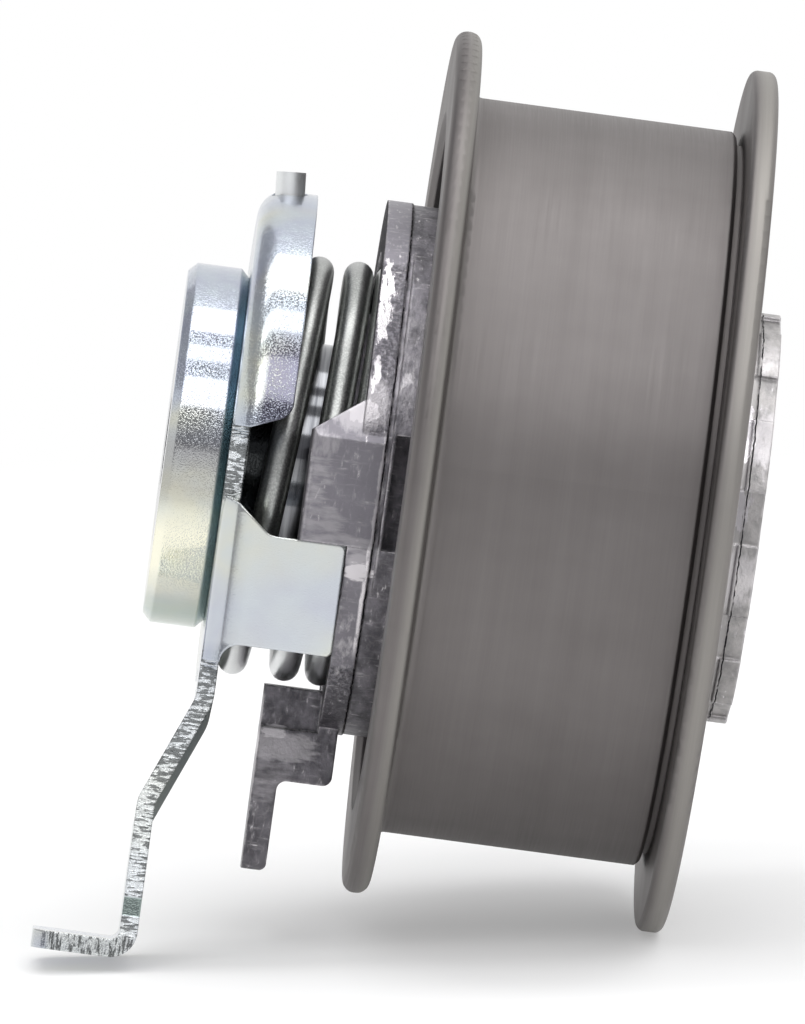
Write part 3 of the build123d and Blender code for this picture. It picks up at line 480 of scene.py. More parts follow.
@dataclass(frozen=True)
class DieCast:
    """Die-cast zinc alloy as it left the mould: violet grey, mottled, smeared bright where it was rubbed.

    Behind its parting line is a smoother rim, where flash was torn off. Places are in millimetres.
    """

    name: str
    parting: float
    rubs: tuple[Rub, ...]
    base: str = "8d8a90"
    dark: str = "67656a"
    pale: str = "a19ea6"
    torn: str = "636166"
    blade_shade: str = "58565a"
    spring_face_dark: str = "454347"
    bright: str = "dedadd"
    seam: str = "2e2d31"
    grain_mm: float = 0.35
    grain_depth_mm: float = 0.035
    mottle_mm: float = 2.2
    mottle_depth_mm: float = 0.06
    smear_mm: float = 0.9
    streak_mm: float = 0.5
    edge_mm: float = 0.35
    rim_rear_y: float = 18.0
    smooth_z: Span = (-21.0, 30.0)
    torn_z: tuple[Span, ...] = ((3.5, 19.7), (-24.0, -18.6))
    burr_z: Span | None = (-17.6, -7.2)
    burr_behind: Span = (-0.50, -0.13)
    blade_shade_z: Span = (-28.5, -31.5)
    spring_face_y: Span = (18.6, 18.3)
    spring_face_z: Span = (-23.5, -22.0)
    seam_half_mm: Span = (0.09, 0.04)

    def rim(self, s: Surface) -> tuple[Socket, Socket]:
        """The smooth rim behind the parting line, and the parts of it where the flash was torn off."""
        height = s.math("ADD", s.along("Z"), s.times(s.noise(0.8, EVEN, 2.0), 0.8))
        behind = s.ramp(s.along("Y"), self.parting + 0.05, self.parting - 0.05)
        smooth = s.times(behind, s.band(height, *self.smooth_z, 0.4))
        torn: Any = 0.0
        for span in self.torn_z:
            torn = s.either(torn, s.band(height, *span, 0.25))
        return smooth, s.times(torn, s.band(s.along("Y"), self.rim_rear_y, self.parting, 0.05))

    def spring_face(self, s: Surface) -> Socket:
        """1 on the face towards the spring, which is made darker, duller and less metallic."""
        lies = s.times(s.ramp(s.leaning("Y"), -0.6, -0.9), s.ramp(s.along("Y"), *self.spring_face_y))
        return s.times(lies, s.ramp(s.along("Z"), *self.spring_face_z))

    def split(self, s: Surface) -> tuple[Socket, Socket]:
        """The distance ahead of the parting line, which wanders, and the line itself."""
        wander = s.times(s.math("SUBTRACT", s.noise(1.2, (1, 9, 1)), 0.5), 0.35)
        ahead = s.math("SUBTRACT", s.math("ADD", s.along("Y"), wander), self.parting)
        breaks = s.ramp(s.noise(1.6, (1, 9, 1), 2.0), 0.38, 0.5)
        return ahead, s.times(s.ramp(s.math("ABSOLUTE", ahead), *self.seam_half_mm), breaks)

    def bared(self, s: Surface, grain: Socket, smear: Socket, edges: Socket, ahead: Socket) -> Socket:
        """Makes the mask of bare, bright metal.

        Args:
            s: the material.
            grain: the casting's grain, whose peaks are bare.
            smear: the pattern of the rubs' marks.
            edges: the sharp edges, which are worn.
            ahead: the distance ahead of the parting line.

        Returns:
            The mask.
        """
        streak = s.noise(self.streak_mm, (1, 4, 1), 4.0)
        bare = s.ramp(grain, 0.75, 0.80, 0.0, 0.3)
        for rub in self.rubs:
            # A dull rub has soft outlines.
            blur = 0.2 * (1 - rub.shine)
            place = s.times(s.spot(rub.centre, rub.reach), rub.cover)
            marks = s.math("ADD", streak if rub.streaky else smear, place)
            bare = s.either(bare, s.ramp(marks, 0.66 - blur, 0.72 + blur, 0.0, rub.shine))
        bare = s.either(bare, s.times(edges, s.ramp(smear, 0.38, 0.56, 0.0, 0.7)))
        if self.burr_z is None:
            return bare
        # Filing the flash down left a bright burr behind the line.
        burr = s.times(s.band(ahead, *self.burr_behind, 0.07), s.band(s.along("Z"), *self.burr_z, 0.7))
        return s.either(bare, s.times(burr, s.ramp(smear, 0.34, 0.46, 0.45, 1.0)))

    def cast(self, s: Surface) -> tuple[Socket, Socket, Socket]:
        """The casting's colour, roughness and normal."""
        grain = s.noise(self.grain_mm, EVEN, 4.0)
        mottle = s.noise(self.mottle_mm, (1, 0.8, 1), 5.0)
        smear = s.noise(self.smear_mm, (1, 0.55, 1.5))
        smooth, torn = self.rim(s)
        worn = s.ramp(smooth, 0.0, 1.0, 1.0, 0.3)
        spread = s.times(s.math("SUBTRACT", mottle, 0.5), worn)
        colour = s.mottled(spread, -0.11, 0.10, self.dark, self.base)
        colour = s.over(colour, smooth, self.pale, 0.5)
        colour = s.over(colour, s.times(torn, s.ramp(grain, 0.58, 0.46, 0.25, 1.0)), self.torn)
        # Darker towards the bottom of the pointer's blade: painted shade.
        colour = s.over(colour, s.ramp(s.along("Z"), *self.blade_shade_z, 0.0, 0.5), self.blade_shade)
        soft = s.rounded(self.edge_mm)
        ahead, line = self.split(s)
        bare = self.bared(s, grain, smear, s.edges(soft), ahead)
        colour = s.over(colour, bare, self.bright)
        colour = s.over(colour, line, self.seam)
        spring_face = self.spring_face(s)
        colour = s.over(colour, s.times(spring_face, s.ramp(smear, 0.72, 0.62)), self.spring_face_dark)
        rough = s.either(s.ramp(bare, 0.0, 1.0, 0.44, 0.26), s.times(spring_face, 0.9))
        low = s.bump(mottle, self.mottle_depth_mm, 0.5, soft)
        deep = s.math("SUBTRACT", s.times(grain, s.math("ADD", worn, torn)), line)
        return colour, rough, s.bump(deep, self.grain_depth_mm, 0.9, low)

    def material(self) -> Material:
        """Builds the finish."""
        s = Surface(self.name)
        colour, rough, normal = self.cast(s)
        metallic = s.ramp(self.spring_face(s), 0.0, 1.0, 0.95, 0.3)
        return s.finish(Base_Color=colour, Metallic=metallic, Roughness=rough, Normal=normal)


@dataclass(frozen=True)
class CastOnJournal:
    """The eccentric: a die-cast head on a ground and polished steel journal, told apart by their stations."""

    head: DieCast
    head_y: Span = (50.75, 50.85)
    steel: str = "8e8f92"
    steel_dark: str = "626367"
    ring_mm: float = 0.5
    ground_roughness: float = 0.12

    def material(self) -> Material:
        """Builds the finish."""
        s = Surface(self.head.name)
        colour, rough, normal = self.head.cast(s)
        rings = s.noise(self.ring_mm, (30, 1, 30), 2.0)
        ground = s.mottled(rings, 0.35, 0.65, self.steel_dark, self.steel)
        cast = s.ramp(s.along("Y"), *self.head_y)
        mixed = s.between(cast, s.add("NewGeometry").outputs["Normal"], normal)
        roughness = s.math("ADD", s.times(rough, cast), s.ramp(cast, 0.0, 1.0, self.ground_roughness, 0.0))
        colour = s.blend(cast, ground, colour)
        return s.finish(Base_Color=colour, Metallic=1.0, Roughness=roughness, Normal=mixed)


@dataclass(frozen=True)
class SpringWire:
    """Drawn and tempered spring wire under a film of oil: satin grey with fine pale specks."""

    name: str = "spring_wire"
    base: str = "a0a2a0"
    pale: str = "cbcdca"
    wire_highlight: str = "f0f2f2"
    speck_mm: float = 0.2
    speck_depth_mm: float = 0.007
    drift_mm: float = 3.0
    underside_highlight_z: Span = (-16.5, -19.0)
    peg_highlight_z: Span = (23.4, 24.2)

    def material(self) -> Material:
        """Builds the finish."""
        s = Surface(self.name)
        specks = s.noise(self.speck_mm)
        drift = s.noise(self.drift_mm, EVEN, 2.0)
        mix = s.times(s.ramp(specks, 0.42, 0.66), s.ramp(drift, 0.35, 0.6, 0.5, 1.0))
        colour = s.blend(mix, linear(self.base), linear(self.pale))
        # The coils' undersides are paler: a painted highlight. The rear end's peg is paler too, partly a
        # painted highlight and partly the bright metal of its cut end.
        colour = s.over(colour, s.ramp(s.along("Z"), *self.underside_highlight_z, 0.0, 0.8), self.wire_highlight)
        wire_highlight = s.ramp(s.along("Z"), *self.peg_highlight_z)
        colour = s.over(colour, wire_highlight, self.wire_highlight)
        rough = s.math("ADD", s.ramp(specks, 0.3, 0.7, 0.30, 0.42), s.times(wire_highlight, 0.16))
        normal = s.bump(specks, self.speck_depth_mm, 0.6)
        return s.finish(Base_Color=colour, Metallic=1.0, Roughness=rough, Normal=normal)


@dataclass(frozen=True)
class PlainMetal:
    """A ground or polished metal with faint cloudiness."""

    name: str
    base: str
    dark: str
    roughness: float
    cloud_mm: float = 1.5

    def material(self) -> Material:
        """Builds the finish."""
        s = Surface(self.name)
        cloud = s.noise(self.cloud_mm, (1, 0.3, 1))
        colour = s.mottled(cloud, 0.35, 0.65, self.dark, self.base)
        rough = s.ramp(cloud, 0.3, 0.7, self.roughness * 0.85, self.roughness * 1.2)
        return s.finish(Base_Color=colour, Metallic=1.0, Roughness=rough)


@dataclass(frozen=True)
class MouldedPolymer:
    """Moulded rubber or nylon with a fine matt grain."""

    name: str
    base: str
    dark: str
    roughness: float
    grain_mm: float = 0.3
    grain_depth_mm: float = 0.01

    def material(self) -> Material:
        """Builds the finish."""
        s = Surface(self.name)
        grain = s.noise(self.grain_mm)
        colour = s.mottled(grain, 0.35, 0.65, self.dark, self.base)
        normal = s.bump(grain, self.grain_depth_mm, 0.5)
        return s.finish(Base_Color=colour, Roughness=self.roughness, Normal=normal)


LEVER_RUBS = (
    Rub((16.5, 18.6, 15.9), (8.5, 0.95, 6.4), 0.31, 0.95),
    Rub((20.8, 18.6, 8.6), (3.5, 0.6, 2.6), 0.29, 0.9),
    Rub((22.1, 20.3, -2.5), (1.5, 0.4, 7.5), 0.34, 0.7),
    Rub((21.2, 17.5, 6), (4.5, 3.6, 3.4), 0.6, 0.42),
    Rub((21.6, 17.8, 5.2), (3.2, 2, 1.5), 0.45, 0.7),
    Rub((22.1, 14.4, 1.6), (2.5, 2.2, 1.8), 0.26, 0.42),
    Rub((22.1, 13.9, -1.8), (2.5, 2.2, 3.4), 0.22, 0.5, True),
    Rub((22.1, 15, -5.4), (2.5, 3.2, 1.8), 0.26, 0.4, True),
    Rub((22.1, 17.5, -7.4), (2.5, 5, 1.2), 0.26, 0.4, True),
    Rub((19.5, 22, 9), (9, 2.6, 8.5), 0.2, 0.3),
    Rub((20.6, 21.6, 8.6), (3, 1, 1.4), 0.3, 0.6),
    Rub((20, 19.4, -9.3), (6, 1.6, 2), 0.4, 0.4, True),
    Rub((20.4, 19.5, -9.9), (6, 1.9, 1.3), 0.34, 0.85, True),
    Rub((5, 13.9, -26), (30, 1.7, 1), 0.38, 0.85, True),
    Rub((14.5, 19.2, -16.5), (7, 1, 5.5), 0.14, 0.6),
    Rub((5, 14.5, -27.4), (30, 4.4, 1.9), 0.44, 0.5, True),
    Rub((5, 13.5, -30.5), (30, 4.5, 3), 0.22, 0.28, True),
)
HEAD_RUBS = (
    Rub((13, 55.5, 16.3), (8, 2.4, 3.2), 0.42, 0.45),
    Rub((15.2, 53.9, 8.6), (5, 1.4, 4.8), 0.46, 1),
    Rub((15.4, 55.9, 8), (5, 1.4, 4.6), 0.4, 0.5),
    Rub((15.6, 54.4, 0.9), (3, 1.3, 2.6), 0.34, 0.9),
    Rub((15.4, 54.8, -5.9), (5, 3, 3.3), 0.42, 0.45),
)
HEAD_CASTING = DieCast(
    "cast_head", HEAD_PARTING, HEAD_RUBS, base="c4c1c0", dark="a3a1a1", pale="c6c3c2", torn_z=(), burr_z=None
)


class Finishes:
    """Every finish of the tensioner, built once."""

    def __init__(self) -> None:
        """Builds the materials."""
        self.turned = TurnedSteel().material()
        self.zinc_sheet = ZincPlate("zinc_sheet", Cut.SHEARED).material()
        self.zinc_disc = ZincPlate("zinc_disc", Cut.TURNED).material()
        self.cast = DieCast("die_cast", LEVER_PARTING, LEVER_RUBS).material()
        self.head = CastOnJournal(HEAD_CASTING).material()
        self.wire = SpringWire().material()
        self.bearing = PlainMetal("bearing_steel", "b4b5b7", "a2a3a6", 0.16).material()
        self.washer = PlainMetal("washer_steel", "9a9a99", "7c7c7b", 0.3).material()
        self.bush = PlainMetal("bush_lining", "9b7f52", "7d6644", 0.35).material()
        self.seal = MouldedPolymer("seal_rubber", "26262a", "17171a", 0.55).material()
        self.cage = MouldedPolymer("cage_nylon", "b9ab86", "a0926e", 0.5).material()


def linked(name: str, data: bpy.types.ID) -> Object:
    """Makes an object of that data and puts it in the scene."""
    made = bpy.data.objects.new(name, data)
    bpy.context.scene.collection.objects.link(made)
    return made


def curve_object(name: str, points: Sequence[Vector], cyclic: bool = False, blunt: float = 1) -> Object:
    """Makes a poly curve.

    Args:
        name: the object's name.
        points: its points, in metres.
        cyclic: whether it closes on itself.
        blunt: the radius of its two end points, as a share of the rest.

    Returns:
        The curve's object.
    """
    curve = bpy.data.curves.new(name, "CURVE")
    curve.dimensions = "3D"
    spline = curve.splines.new("POLY")
    spline.points.add(len(points) - 1)
    for place, point in zip(spline.points, points):
        place.co = (*point, 1)
    spline.use_cyclic_u = cyclic
    spline.points[0].radius = spline.points[-1].radius = blunt
    return linked(name, curve)


def node_group(name: str, sizes: dict[str, float]) -> tuple[Tree, Node, dict[str, str]]:
    """Starts a geometry node tree with named number inputs.

    Args:
        name: the tree's name.
        sizes: each input's name and its default.

    Returns:
        The tree, its input node, and each input's identifier.
    """
    tree = bpy.data.node_groups.new(name, "GeometryNodeTree")
    tree.interface.new_socket("Geometry", in_out="INPUT", socket_type="NodeSocketGeometry")
    tree.interface.new_socket("Geometry", in_out="OUTPUT", socket_type="NodeSocketGeometry")
    keys = {}
    for label, value in sizes.items():
        socket = tree.interface.new_socket(label, in_out="INPUT", socket_type="NodeSocketFloat")
        socket.default_value = value
        keys[label] = socket.identifier
    return tree, tree.nodes.new("NodeGroupInput"), keys


def close_group(tree: Tree, geometry: Socket, material: Material) -> None:
    """Ends a tree in Realize Instances and Set Material."""
    real = add_node(tree, "GeometryNodeRealizeInstances", {"Geometry": geometry})
    dressed = add_node(tree, "GeometryNodeSetMaterial", {"Geometry": real.outputs[0], "Material": material})
    output = tree.nodes.new("NodeGroupOutput")
    tree.links.new(dressed.outputs[0], output.inputs[0])


def realised(source: Object, tree: Tree, keys: dict[str, str], sizes: dict[str, float]) -> Object:
    """Runs a tree on an object and turns the result into a plain mesh.

    Args:
        source: the object, which is removed.
        tree: the geometry node tree.
        keys: each input's identifier by its name.
        sizes: each input's value by its name.

    Returns:
        The mesh's object, at the origin.
    """
    modifier = source.modifiers.new("shape", "NODES")
    modifier.node_group = tree
    for label, value in sizes.items():
        modifier[keys[label]] = value
    bpy.context.view_layer.update()
    depsgraph = bpy.context.evaluated_depsgraph_get()
    mesh = bpy.data.meshes.new_from_object(source.evaluated_get(depsgraph))
    name = source.name
    bpy.data.objects.remove(source)
    mesh.name = name
    for polygon in mesh.polygons:
        # The round ends stay flat.
        polygon.use_smooth = len(polygon.vertices) <= 4
    return linked(name, mesh)


@dataclass
class Spring:
    """The torsion spring between the base plate and the lever. Lengths in millimetres.

    Each half-turn is a half circle between two ends, straight above each other in side view.
    """

    axis: Span = (-3.6, -0.9)
    wire_radius: float = 1.42
    coil_radius: float = 18.93
    stations: tuple[float, ...] = (9.1, 9.1, 12.394, 14.098, 16.2, 17.506, 19.21)
    leg_bend: float = 3.0
    rear_lean_deg: float = 4.0
    rear_reach: float = 27.9
    front_angle_deg: float = 62.0
    front_reach: float = 24.6
    end_chamfer: float = 0.25
    end_share: float = 0.82
    grip: Span = (0.6, 0.3)
    bend_steps: int = 8
    front_steps: int = 12
    steps: int = 26
    sides: int = 24

    def leg(self, start: Vector, travel: Vector, out: Vector, reach: float) -> list[Vector]:
        """A right-angle bend and a straight end.

        Args:
            start: the end of the coil.
            travel: the wire's direction there.
            out: the direction of the leg.
            reach: how far the leg's tip is from the coil's axis.

        Returns:
            Points from the coil outwards.
        """
        points = []
        for index in range(1, self.bend_steps + 1):
            turn = math.pi / 2 * index / self.bend_steps
            ahead = travel * (self.leg_bend * math.sin(turn))
            points.append(start + ahead + out * (self.leg_bend * (1 - math.cos(turn))))
        foot = points[-1]
        length = reach - self.coil_radius - self.leg_bend
        for distance in (length / 2, length - self.end_chamfer, length):
            points.append(foot + out * distance)
        return points

    def path(self) -> list[Vector]:
        """The wire's centre line in millimetres, from the rear end to the front end."""
        x, z = self.axis
        ends = []
        for index, y in enumerate(self.stations):
            ends.append(Vector((x, y, z + (self.coil_radius if index % 2 == 0 else -self.coil_radius))))
        lean = math.radians(self.rear_lean_deg)
        out = Vector((0, -math.sin(lean), math.cos(lean)))
        rear = self.leg(ends[0], Vector((1, 0, 0)), out, self.rear_reach)
        points = list(reversed(rear))
        for index in range(len(ends) - 1):
            side = Vector((-1 if index % 2 == 0 else 1, 0, 0))
            middle = (ends[index] + ends[index + 1]) / 2
            arm = (ends[index] - ends[index + 1]) / 2
            for step in range(self.steps):
                turn = math.pi * step / self.steps
                points.append(middle + arm * math.cos(turn) + side * (arm.length * math.sin(turn)))
        turned = math.radians(self.front_angle_deg)
        front = self.stations[-1]
        for step in range(self.front_steps):
            angle = turned * step / self.front_steps
            across, up = self.coil_radius * math.sin(angle), self.coil_radius * math.cos(angle)
            points.append(Vector((x - across, front, z + up)))
        out = Vector((-math.sin(turned), 0, math.cos(turned)))
        travel = Vector((-math.cos(turned), 0, -math.sin(turned)))
        last = Vector((x, front, z)) + out * self.coil_radius
        return points + [last] + self.leg(last, travel, out, self.front_reach)

    def tube(self, points: Sequence[Vector], material: Material) -> Object:
        """A round wire along points in metres, closed at both ends."""
        sizes = {"Radius": self.wire_radius * MM, "Sides": float(self.sides)}
        tree, given, keys = node_group("spring_wire_tree", sizes)
        inputs = {"Radius": given.outputs["Radius"], "Resolution": given.outputs["Sides"]}
        profile = add_node(tree, "GeometryNodeCurvePrimitiveCircle", inputs).outputs["Curve"]
        inputs = {"Curve": given.outputs["Geometry"], "Profile Curve": profile, "Fill Caps": True}
        tube = add_node(tree, "GeometryNodeCurveToMesh", inputs)
        close_group(tree, tube.outputs["Mesh"], material)
        return realised(curve_object("spring_wire", points, blunt=self.end_share), tree, keys, sizes)

    def build(self, material: Material) -> None:
        """Makes the wire between the base plate and the lever, in place of the frame's spring."""
        points = [point * MM for point in self.path()]
        wire = self.tube(points, material)
        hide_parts("torsion_spring")
        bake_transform(wire)
        log.info("spring wire: %d points", len(points))


@dataclass
class PartingFlash:
    """The thin, broken ridge that the die's halves leave round a casting.

    Lengths are in millimetres, and the ripples are per metre.
    """

    name: str
    body: Body
    radius: float
    station: float
    thickness: float
    seed: float
    wander: float = 0.1
    ripples: float = 700
    swell: Span = (0.42, 0.68)
    share: Span = (0.15, 1.6)
    steps: int = 360
    sides: int = 6

    def ring(self) -> list[Vector]:
        """The ridge's centre line, in metres."""
        points = []
        for index in range(self.steps):
            turn = math.tau * index / self.steps
            x = PIVOT[0] + self.radius * math.cos(turn)
            points.append(Vector((x, self.station, PIVOT[1] + self.radius * math.sin(turn))) * MM)
        return points

    def build(self, material: Material) -> None:
        """Makes the ridge: a ring whose thickness comes and goes."""
        sizes = {"Thickness": self.thickness * MM, "Wander": self.wander * MM, "Seed": self.seed}
        tree, given, keys = node_group(self.name + "_tree", sizes)
        place = add_node(tree, "GeometryNodeInputPosition")
        ripple = (self.ripples,) * 3
        scaled = add_node(tree, "ShaderNodeVectorMath", {0: place.outputs[0], 1: ripple}, operation="MULTIPLY")
        inputs = {"Vector": scaled.outputs[0], "W": given.outputs["Seed"], "Scale": 1.0, "Detail": 3.0}
        swell = add_node(tree, "ShaderNodeTexNoise", inputs, noise_dimensions="4D").outputs[0]
        inputs = dict(zip(("From Min", "From Max", "To Min", "To Max"), self.swell + self.share))
        size = add_node(tree, "ShaderNodeMapRange", {"Value": swell} | inputs)
        drift = add_node(tree, "ShaderNodeMath", {0: swell, 1: 0.5}, operation="SUBTRACT")
        inputs = {0: drift.outputs[0], 1: given.outputs["Wander"]}
        shift = add_node(tree, "ShaderNodeMath", inputs, operation="MULTIPLY")
        offset = add_node(tree, "ShaderNodeCombineXYZ", {"Y": shift.outputs[0]})
        inputs = {"Geometry": given.outputs["Geometry"], "Offset": offset.outputs[0]}
        moved = add_node(tree, "GeometryNodeSetPosition", inputs)
        inputs = {"Curve": moved.outputs[0], "Radius": size.outputs[0]}
        thick = add_node(tree, "GeometryNodeSetCurveRadius", inputs)
        inputs = {"Radius": given.outputs["Thickness"], "Resolution": self.sides}
        profile = add_node(tree, "GeometryNodeCurvePrimitiveCircle", inputs)
        inputs = {"Curve": thick.outputs[0], "Profile Curve": profile.outputs["Curve"]}
        ridge = add_node(tree, "GeometryNodeCurveToMesh", inputs)
        close_group(tree, ridge.outputs["Mesh"], material)
        made = realised(curve_object(self.name, self.ring(), cyclic=True), tree, keys, sizes)
        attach(made, self.body.value)
        log.info("%s: %d faces", self.name, len(made.data.polygons))


def white_rays(tree: Tree) -> Socket:
    """1 for the rays that show the background: from the camera, in gloss and through glass."""
    path = add_node(tree, "ShaderNodeLightPath").outputs
    inputs = {0: path["Is Camera Ray"], 1: path["Is Glossy Ray"]}
    both = add_node(tree, "ShaderNodeMath", inputs, operation="MAXIMUM")
    inputs = {0: both.outputs[0], 1: path["Is Transmission Ray"]}
    return add_node(tree, "ShaderNodeMath", inputs, operation="MAXIMUM").outputs[0]


@dataclass(frozen=True)
class Card:
    """A grey card that curves round behind the camera and the lamps.

    Only gloss shows it. It keeps the metal that faces the camera from washing out. Its rise is above the
    photograph's horizontal, and its turn is from the camera to the right.
    """

    name: str
    rise_deg: Span
    turn_deg: Span
    colour: str
    rows: int = 8
    columns: int = 12


@dataclass(frozen=True)
class Lamp:
    """A soft rectangular lamp over the camera: its rise above the photograph's horizontal and its width.

    Its brightness is its radiance, where white paper in plain light is 1.
    """

    name: str
    rise_deg: Span
    width_deg: float = 64
    brightness: float = 2.5


@dataclass
class Studio:
    """The camera at the photograph's place, the floor, and soft light. Lengths in millimetres."""

    roll_deg: float = 7.63
    yaw_deg: float = 1.45
    distance: float = 1400.0
    pixels_per_mm: float = 10.5
    sensor: float = 36.0
    clip: Span = (10.0, 100000.0)
    target: Triple = (1.28, 23.22, -3.72)
    # The floor touches the front flange below its rounded rim, and the foot's far edge, at that x and y.
    rim_round: float = 0.6
    foot_edge: Span = (5.9, 2.0)
    floor_lean_deg: float = 6.5
    floor_drop: float = 0.1
    floor_size: float = 8000.0
    floor_colour: str = "d3d3d3"
    floor_lift: float = 0.3
    floor_fade: Span = (160.0, 420.0)
    world_colour: str = "d6d6d7"
    card_metres: float = 3.5
    cards: tuple[Card, ...] = (
        Card("low_card", (-4.5, 24.0), (-65.0, 45.0), "96969a"),
        Card("high_card", (24.0, 76.0), (-150.0, 45.0), "b0b0b3"),
    )
    lamp_metres: float = 3.0
    lamps: tuple[Lamp, ...] = (
        Lamp("front_panel", (24, 43), brightness=2.9),
        Lamp("high_panel", (55, 66)),
        Lamp("overhead_panel", (77, 98)),
    )

    def axes(self) -> tuple[Vector, Vector, Vector]:
        """The camera's right, up and back directions."""
        yaw = math.radians(self.yaw_deg)
        roll = math.radians(self.roll_deg)
        back = Vector((math.cos(yaw), -math.sin(yaw), 0))
        level = Vector((math.sin(yaw), math.cos(yaw), 0))
        upright = Vector((0, 0, 1))
        right = level * math.cos(roll) + upright * math.sin(roll)
        up = upright * math.cos(roll) - level * math.sin(roll)
        return right, up, back

    def toward(self, rise_deg: float, turn_deg: float = 0) -> Vector:
        """The direction at a rise above the photograph's horizontal and a turn to the right."""
        right, up, back = self.axes()
        rise, turn = math.radians(rise_deg), math.radians(turn_deg)
        return (back * math.cos(turn) + right * math.sin(turn)) * math.cos(rise) + up * math.sin(rise)

    def camera(self) -> None:
        """Makes the camera."""
        data = bpy.data.cameras.new("camera")
        data.sensor_width = self.sensor
        data.lens = self.pixels_per_mm * self.distance * self.sensor / IMAGE_HEIGHT
        data.clip_start, data.clip_end = (length * MM for length in self.clip)
        made = linked("camera", data)
        place = (Vector(self.target) + self.axes()[2] * self.distance) * MM
        made.matrix_world = Matrix.Translation(place) @ Matrix(self.axes()).transposed().to_4x4()
        bpy.context.scene.camera = made

    def floor_plane(self) -> tuple[Vector, Vector]:
        """A point of the floor and its normal: it touches the foot's far edge and the front flange."""
        right, up, back = self.axes()
        flange_low, flange_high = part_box("front_flange")
        plate_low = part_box("base_plate")[0]
        middle = (flange_low[0] + flange_high[0]) / 2
        flange = Vector((middle, flange_high[1] - self.rim_round * MM, flange_low[2]))
        foot = Vector((self.foot_edge[0] * MM, self.foot_edge[1] * MM, plate_low[2]))
        lean = math.radians(self.floor_lean_deg)
        between = foot - flange
        rise = between.dot(up) * math.cos(lean) + between.dot(back) * math.sin(lean)
        side = rise / (between.dot(right) * math.cos(lean))
        normal = (up - right * side) * math.cos(lean) + back * math.sin(lean)
        return flange, normal.normalized()

    def floor(self) -> None:
        """A plain pale floor that holds the shadow."""
        point, normal = self.floor_plane()
        half = self.floor_size / 2 * MM
        turn = normal.to_track_quat("Z", "Y").to_matrix().to_4x4()
        mesh = bpy.data.meshes.new("floor")
        corners = [Vector((x * half, y * half, 0)) for x, y in ((-1, -1), (1, -1), (1, 1), (-1, 1))]
        place = Matrix.Translation(point - normal * self.floor_drop * MM) @ turn
        mesh.from_pydata([place @ corner for corner in corners], [], [(0, 1, 2, 3)])
        made = linked("floor", mesh)
        mesh.materials.append(self.pale_floor())

    def pale_floor(self) -> Material:
        """White card, matt: it takes a soft shadow, and is as white as the background elsewhere."""
        s = Surface("pale_floor")
        seen = white_rays(s.tree)
        matt = s.add("BsdfDiffuse", {"Color": linear(self.floor_colour)})
        lift = s.add("Emission", {"Color": WHITE, "Strength": s.times(seen, self.floor_lift)})
        near = s.add("AddShader", {0: matt.outputs[0], 1: lift.outputs[0]})
        # Past the shadow the floor runs out into the white, and from underneath it isn't there.
        white = s.add("Emission", {"Color": WHITE, "Strength": 1.0})
        away = s.add("VectorMath", {0: s.place}, operation="LENGTH").outputs["Value"]
        past = s.times(seen, s.ramp(away, self.floor_fade[0] * MM, self.floor_fade[1] * MM))
        top = s.add("MixShader", {0: past, 1: near.outputs[0], 2: white.outputs[0]})
        below = s.add("NewGeometry").outputs["Backfacing"]
        clear = s.add("BsdfTransparent")
        both = s.add("MixShader", {0: below, 1: top.outputs[0], 2: clear.outputs[0]})
        return s.close(both)

    def hang(self, card: Card) -> None:
        """Makes a card, which only gloss shows."""
        corners = []
        low, high = card.rise_deg
        left, right = card.turn_deg
        for row in range(card.rows + 1):
            rise = low + (high - low) * row / card.rows
            for column in range(card.columns + 1):
                turn = left + (right - left) * column / card.columns
                corners.append(Vector(self.target) * MM + self.toward(rise, turn) * self.card_metres)
        faces = []
        for row in range(card.rows):
            for column in range(card.columns):
                start = row * (card.columns + 1) + column
                above = start + card.columns + 1
                faces.append((start, start + 1, above + 1, above))
        mesh = bpy.data.meshes.new(card.name)
        mesh.from_pydata(corners, [], faces)
        made = linked(card.name, mesh)
        s = Surface(card.name)
        glow = s.add("Emission", {"Color": linear(card.colour), "Strength": 1.0})
        mesh.materials.append(s.close(glow))
        for ray in ("camera", "diffuse", "transmission", "volume_scatter", "shadow"):
            setattr(made, "visible_" + ray, False)

    def world(self) -> None:
        """A plain world: white behind the object and in its gloss, and grey as light."""
        world = bpy.data.worlds.new("studio")
        bpy.context.scene.world = world
        world.use_nodes = True
        tree = world.node_tree
        tree.nodes.clear()
        inputs = {0: white_rays(tree), 6: linear(self.world_colour), 7: WHITE}
        shade = add_node(tree, "ShaderNodeMix", inputs, data_type="RGBA")
        sky = add_node(tree, "ShaderNodeBackground", {"Color": shade.outputs[2], "Strength": 1.0})
        add_node(tree, "ShaderNodeOutputWorld", {"Surface": sky.outputs[0]})

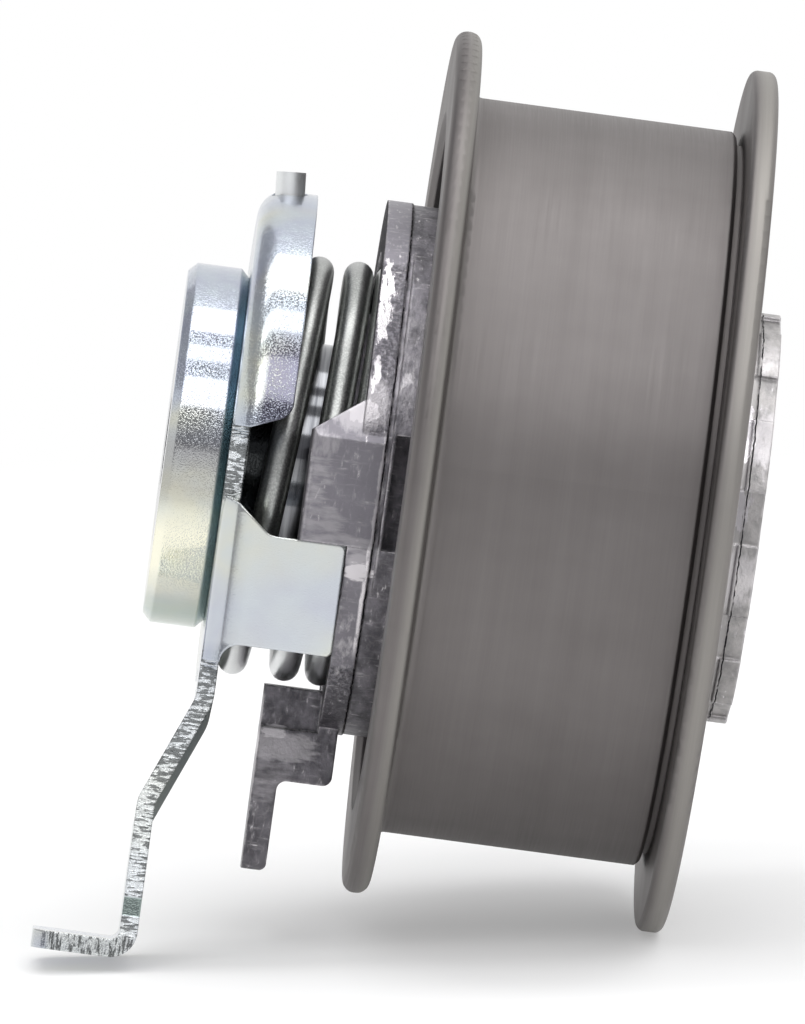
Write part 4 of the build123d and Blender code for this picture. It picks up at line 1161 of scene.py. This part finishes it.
    def light(self, lamp: Lamp) -> None:
        """Makes a lamp that faces the object."""
        right = self.axes()[0]
        away = self.toward(sum(lamp.rise_deg) / 2)
        reach = 2 * self.lamp_metres
        data = bpy.data.lights.new(lamp.name, "AREA")
        data.shape = "RECTANGLE"
        data.size = reach * math.tan(math.radians(lamp.width_deg) / 2)
        data.size_y = reach * math.tan(math.radians(lamp.rise_deg[1] - lamp.rise_deg[0]) / 2)
        data.energy = lamp.brightness * math.pi * data.size * data.size_y
        made = linked(lamp.name, data)
        side = (right - away * right.dot(away)).normalized()
        turned = Matrix((side, away.cross(side), away)).transposed().to_4x4()
        made.matrix_world = Matrix.Translation(Vector(self.target) * MM + away * self.lamp_metres) @ turned

    def build(self) -> None:
        """Makes the whole studio."""
        bpy.context.scene.view_settings.view_transform = "Standard"
        self.camera()
        self.floor()
        for card in self.cards:
            self.hang(card)
        self.world()
        for lamp in self.lamps:
            self.light(lamp)


@dataclass
class Tensioner:
    """The carried-over frame nodes and the finishes that they wear."""

    nodes: dict[str, Object]
    finishes: Finishes

    def dress(self) -> None:
        """Gives every frame node its finish. What isn't listed is the bearing's rings and balls."""
        f = self.finishes
        worn = {
            "seat_disc": f.zinc_disc, "base_plate": f.zinc_sheet, "torsion_spring": f.wire,
            "tension_lever": f.cast, "adjusting_eccentric": f.head, "plain_bush": f.bush,
            "thrust_washer": f.washer, "ball_cage": f.cage, "rear_seal": f.seal, "front_seal": f.seal,
            "pulley_shell": f.turned, "front_flange": f.turned,
        }
        for name, node in self.nodes.items():
            material = worn.get(name, f.bearing)
            if not node.material_slots:
                node.data.materials.append(material)
            for slot in node.material_slots:
                slot.material = material
            log.info("%s wears %s", name, material.name)


def main() -> None:
    """Builds the tensioner's looks in order."""
    logging.basicConfig(level=logging.INFO)
    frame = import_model()
    finishes = Finishes()
    Tensioner(frame["nodes"], finishes).dress()
    Spring().build(finishes.wire)
    PartingFlash("lever_flash", Body.LEVER, 25.52, LEVER_PARTING, 0.09, 3.0).build(finishes.cast)
    PartingFlash("head_flash", Body.ADJUSTER, 19.58, HEAD_PARTING, 0.08, 8.0).build(finishes.head)
    Studio().build()


if __name__ == "__main__":
    main()
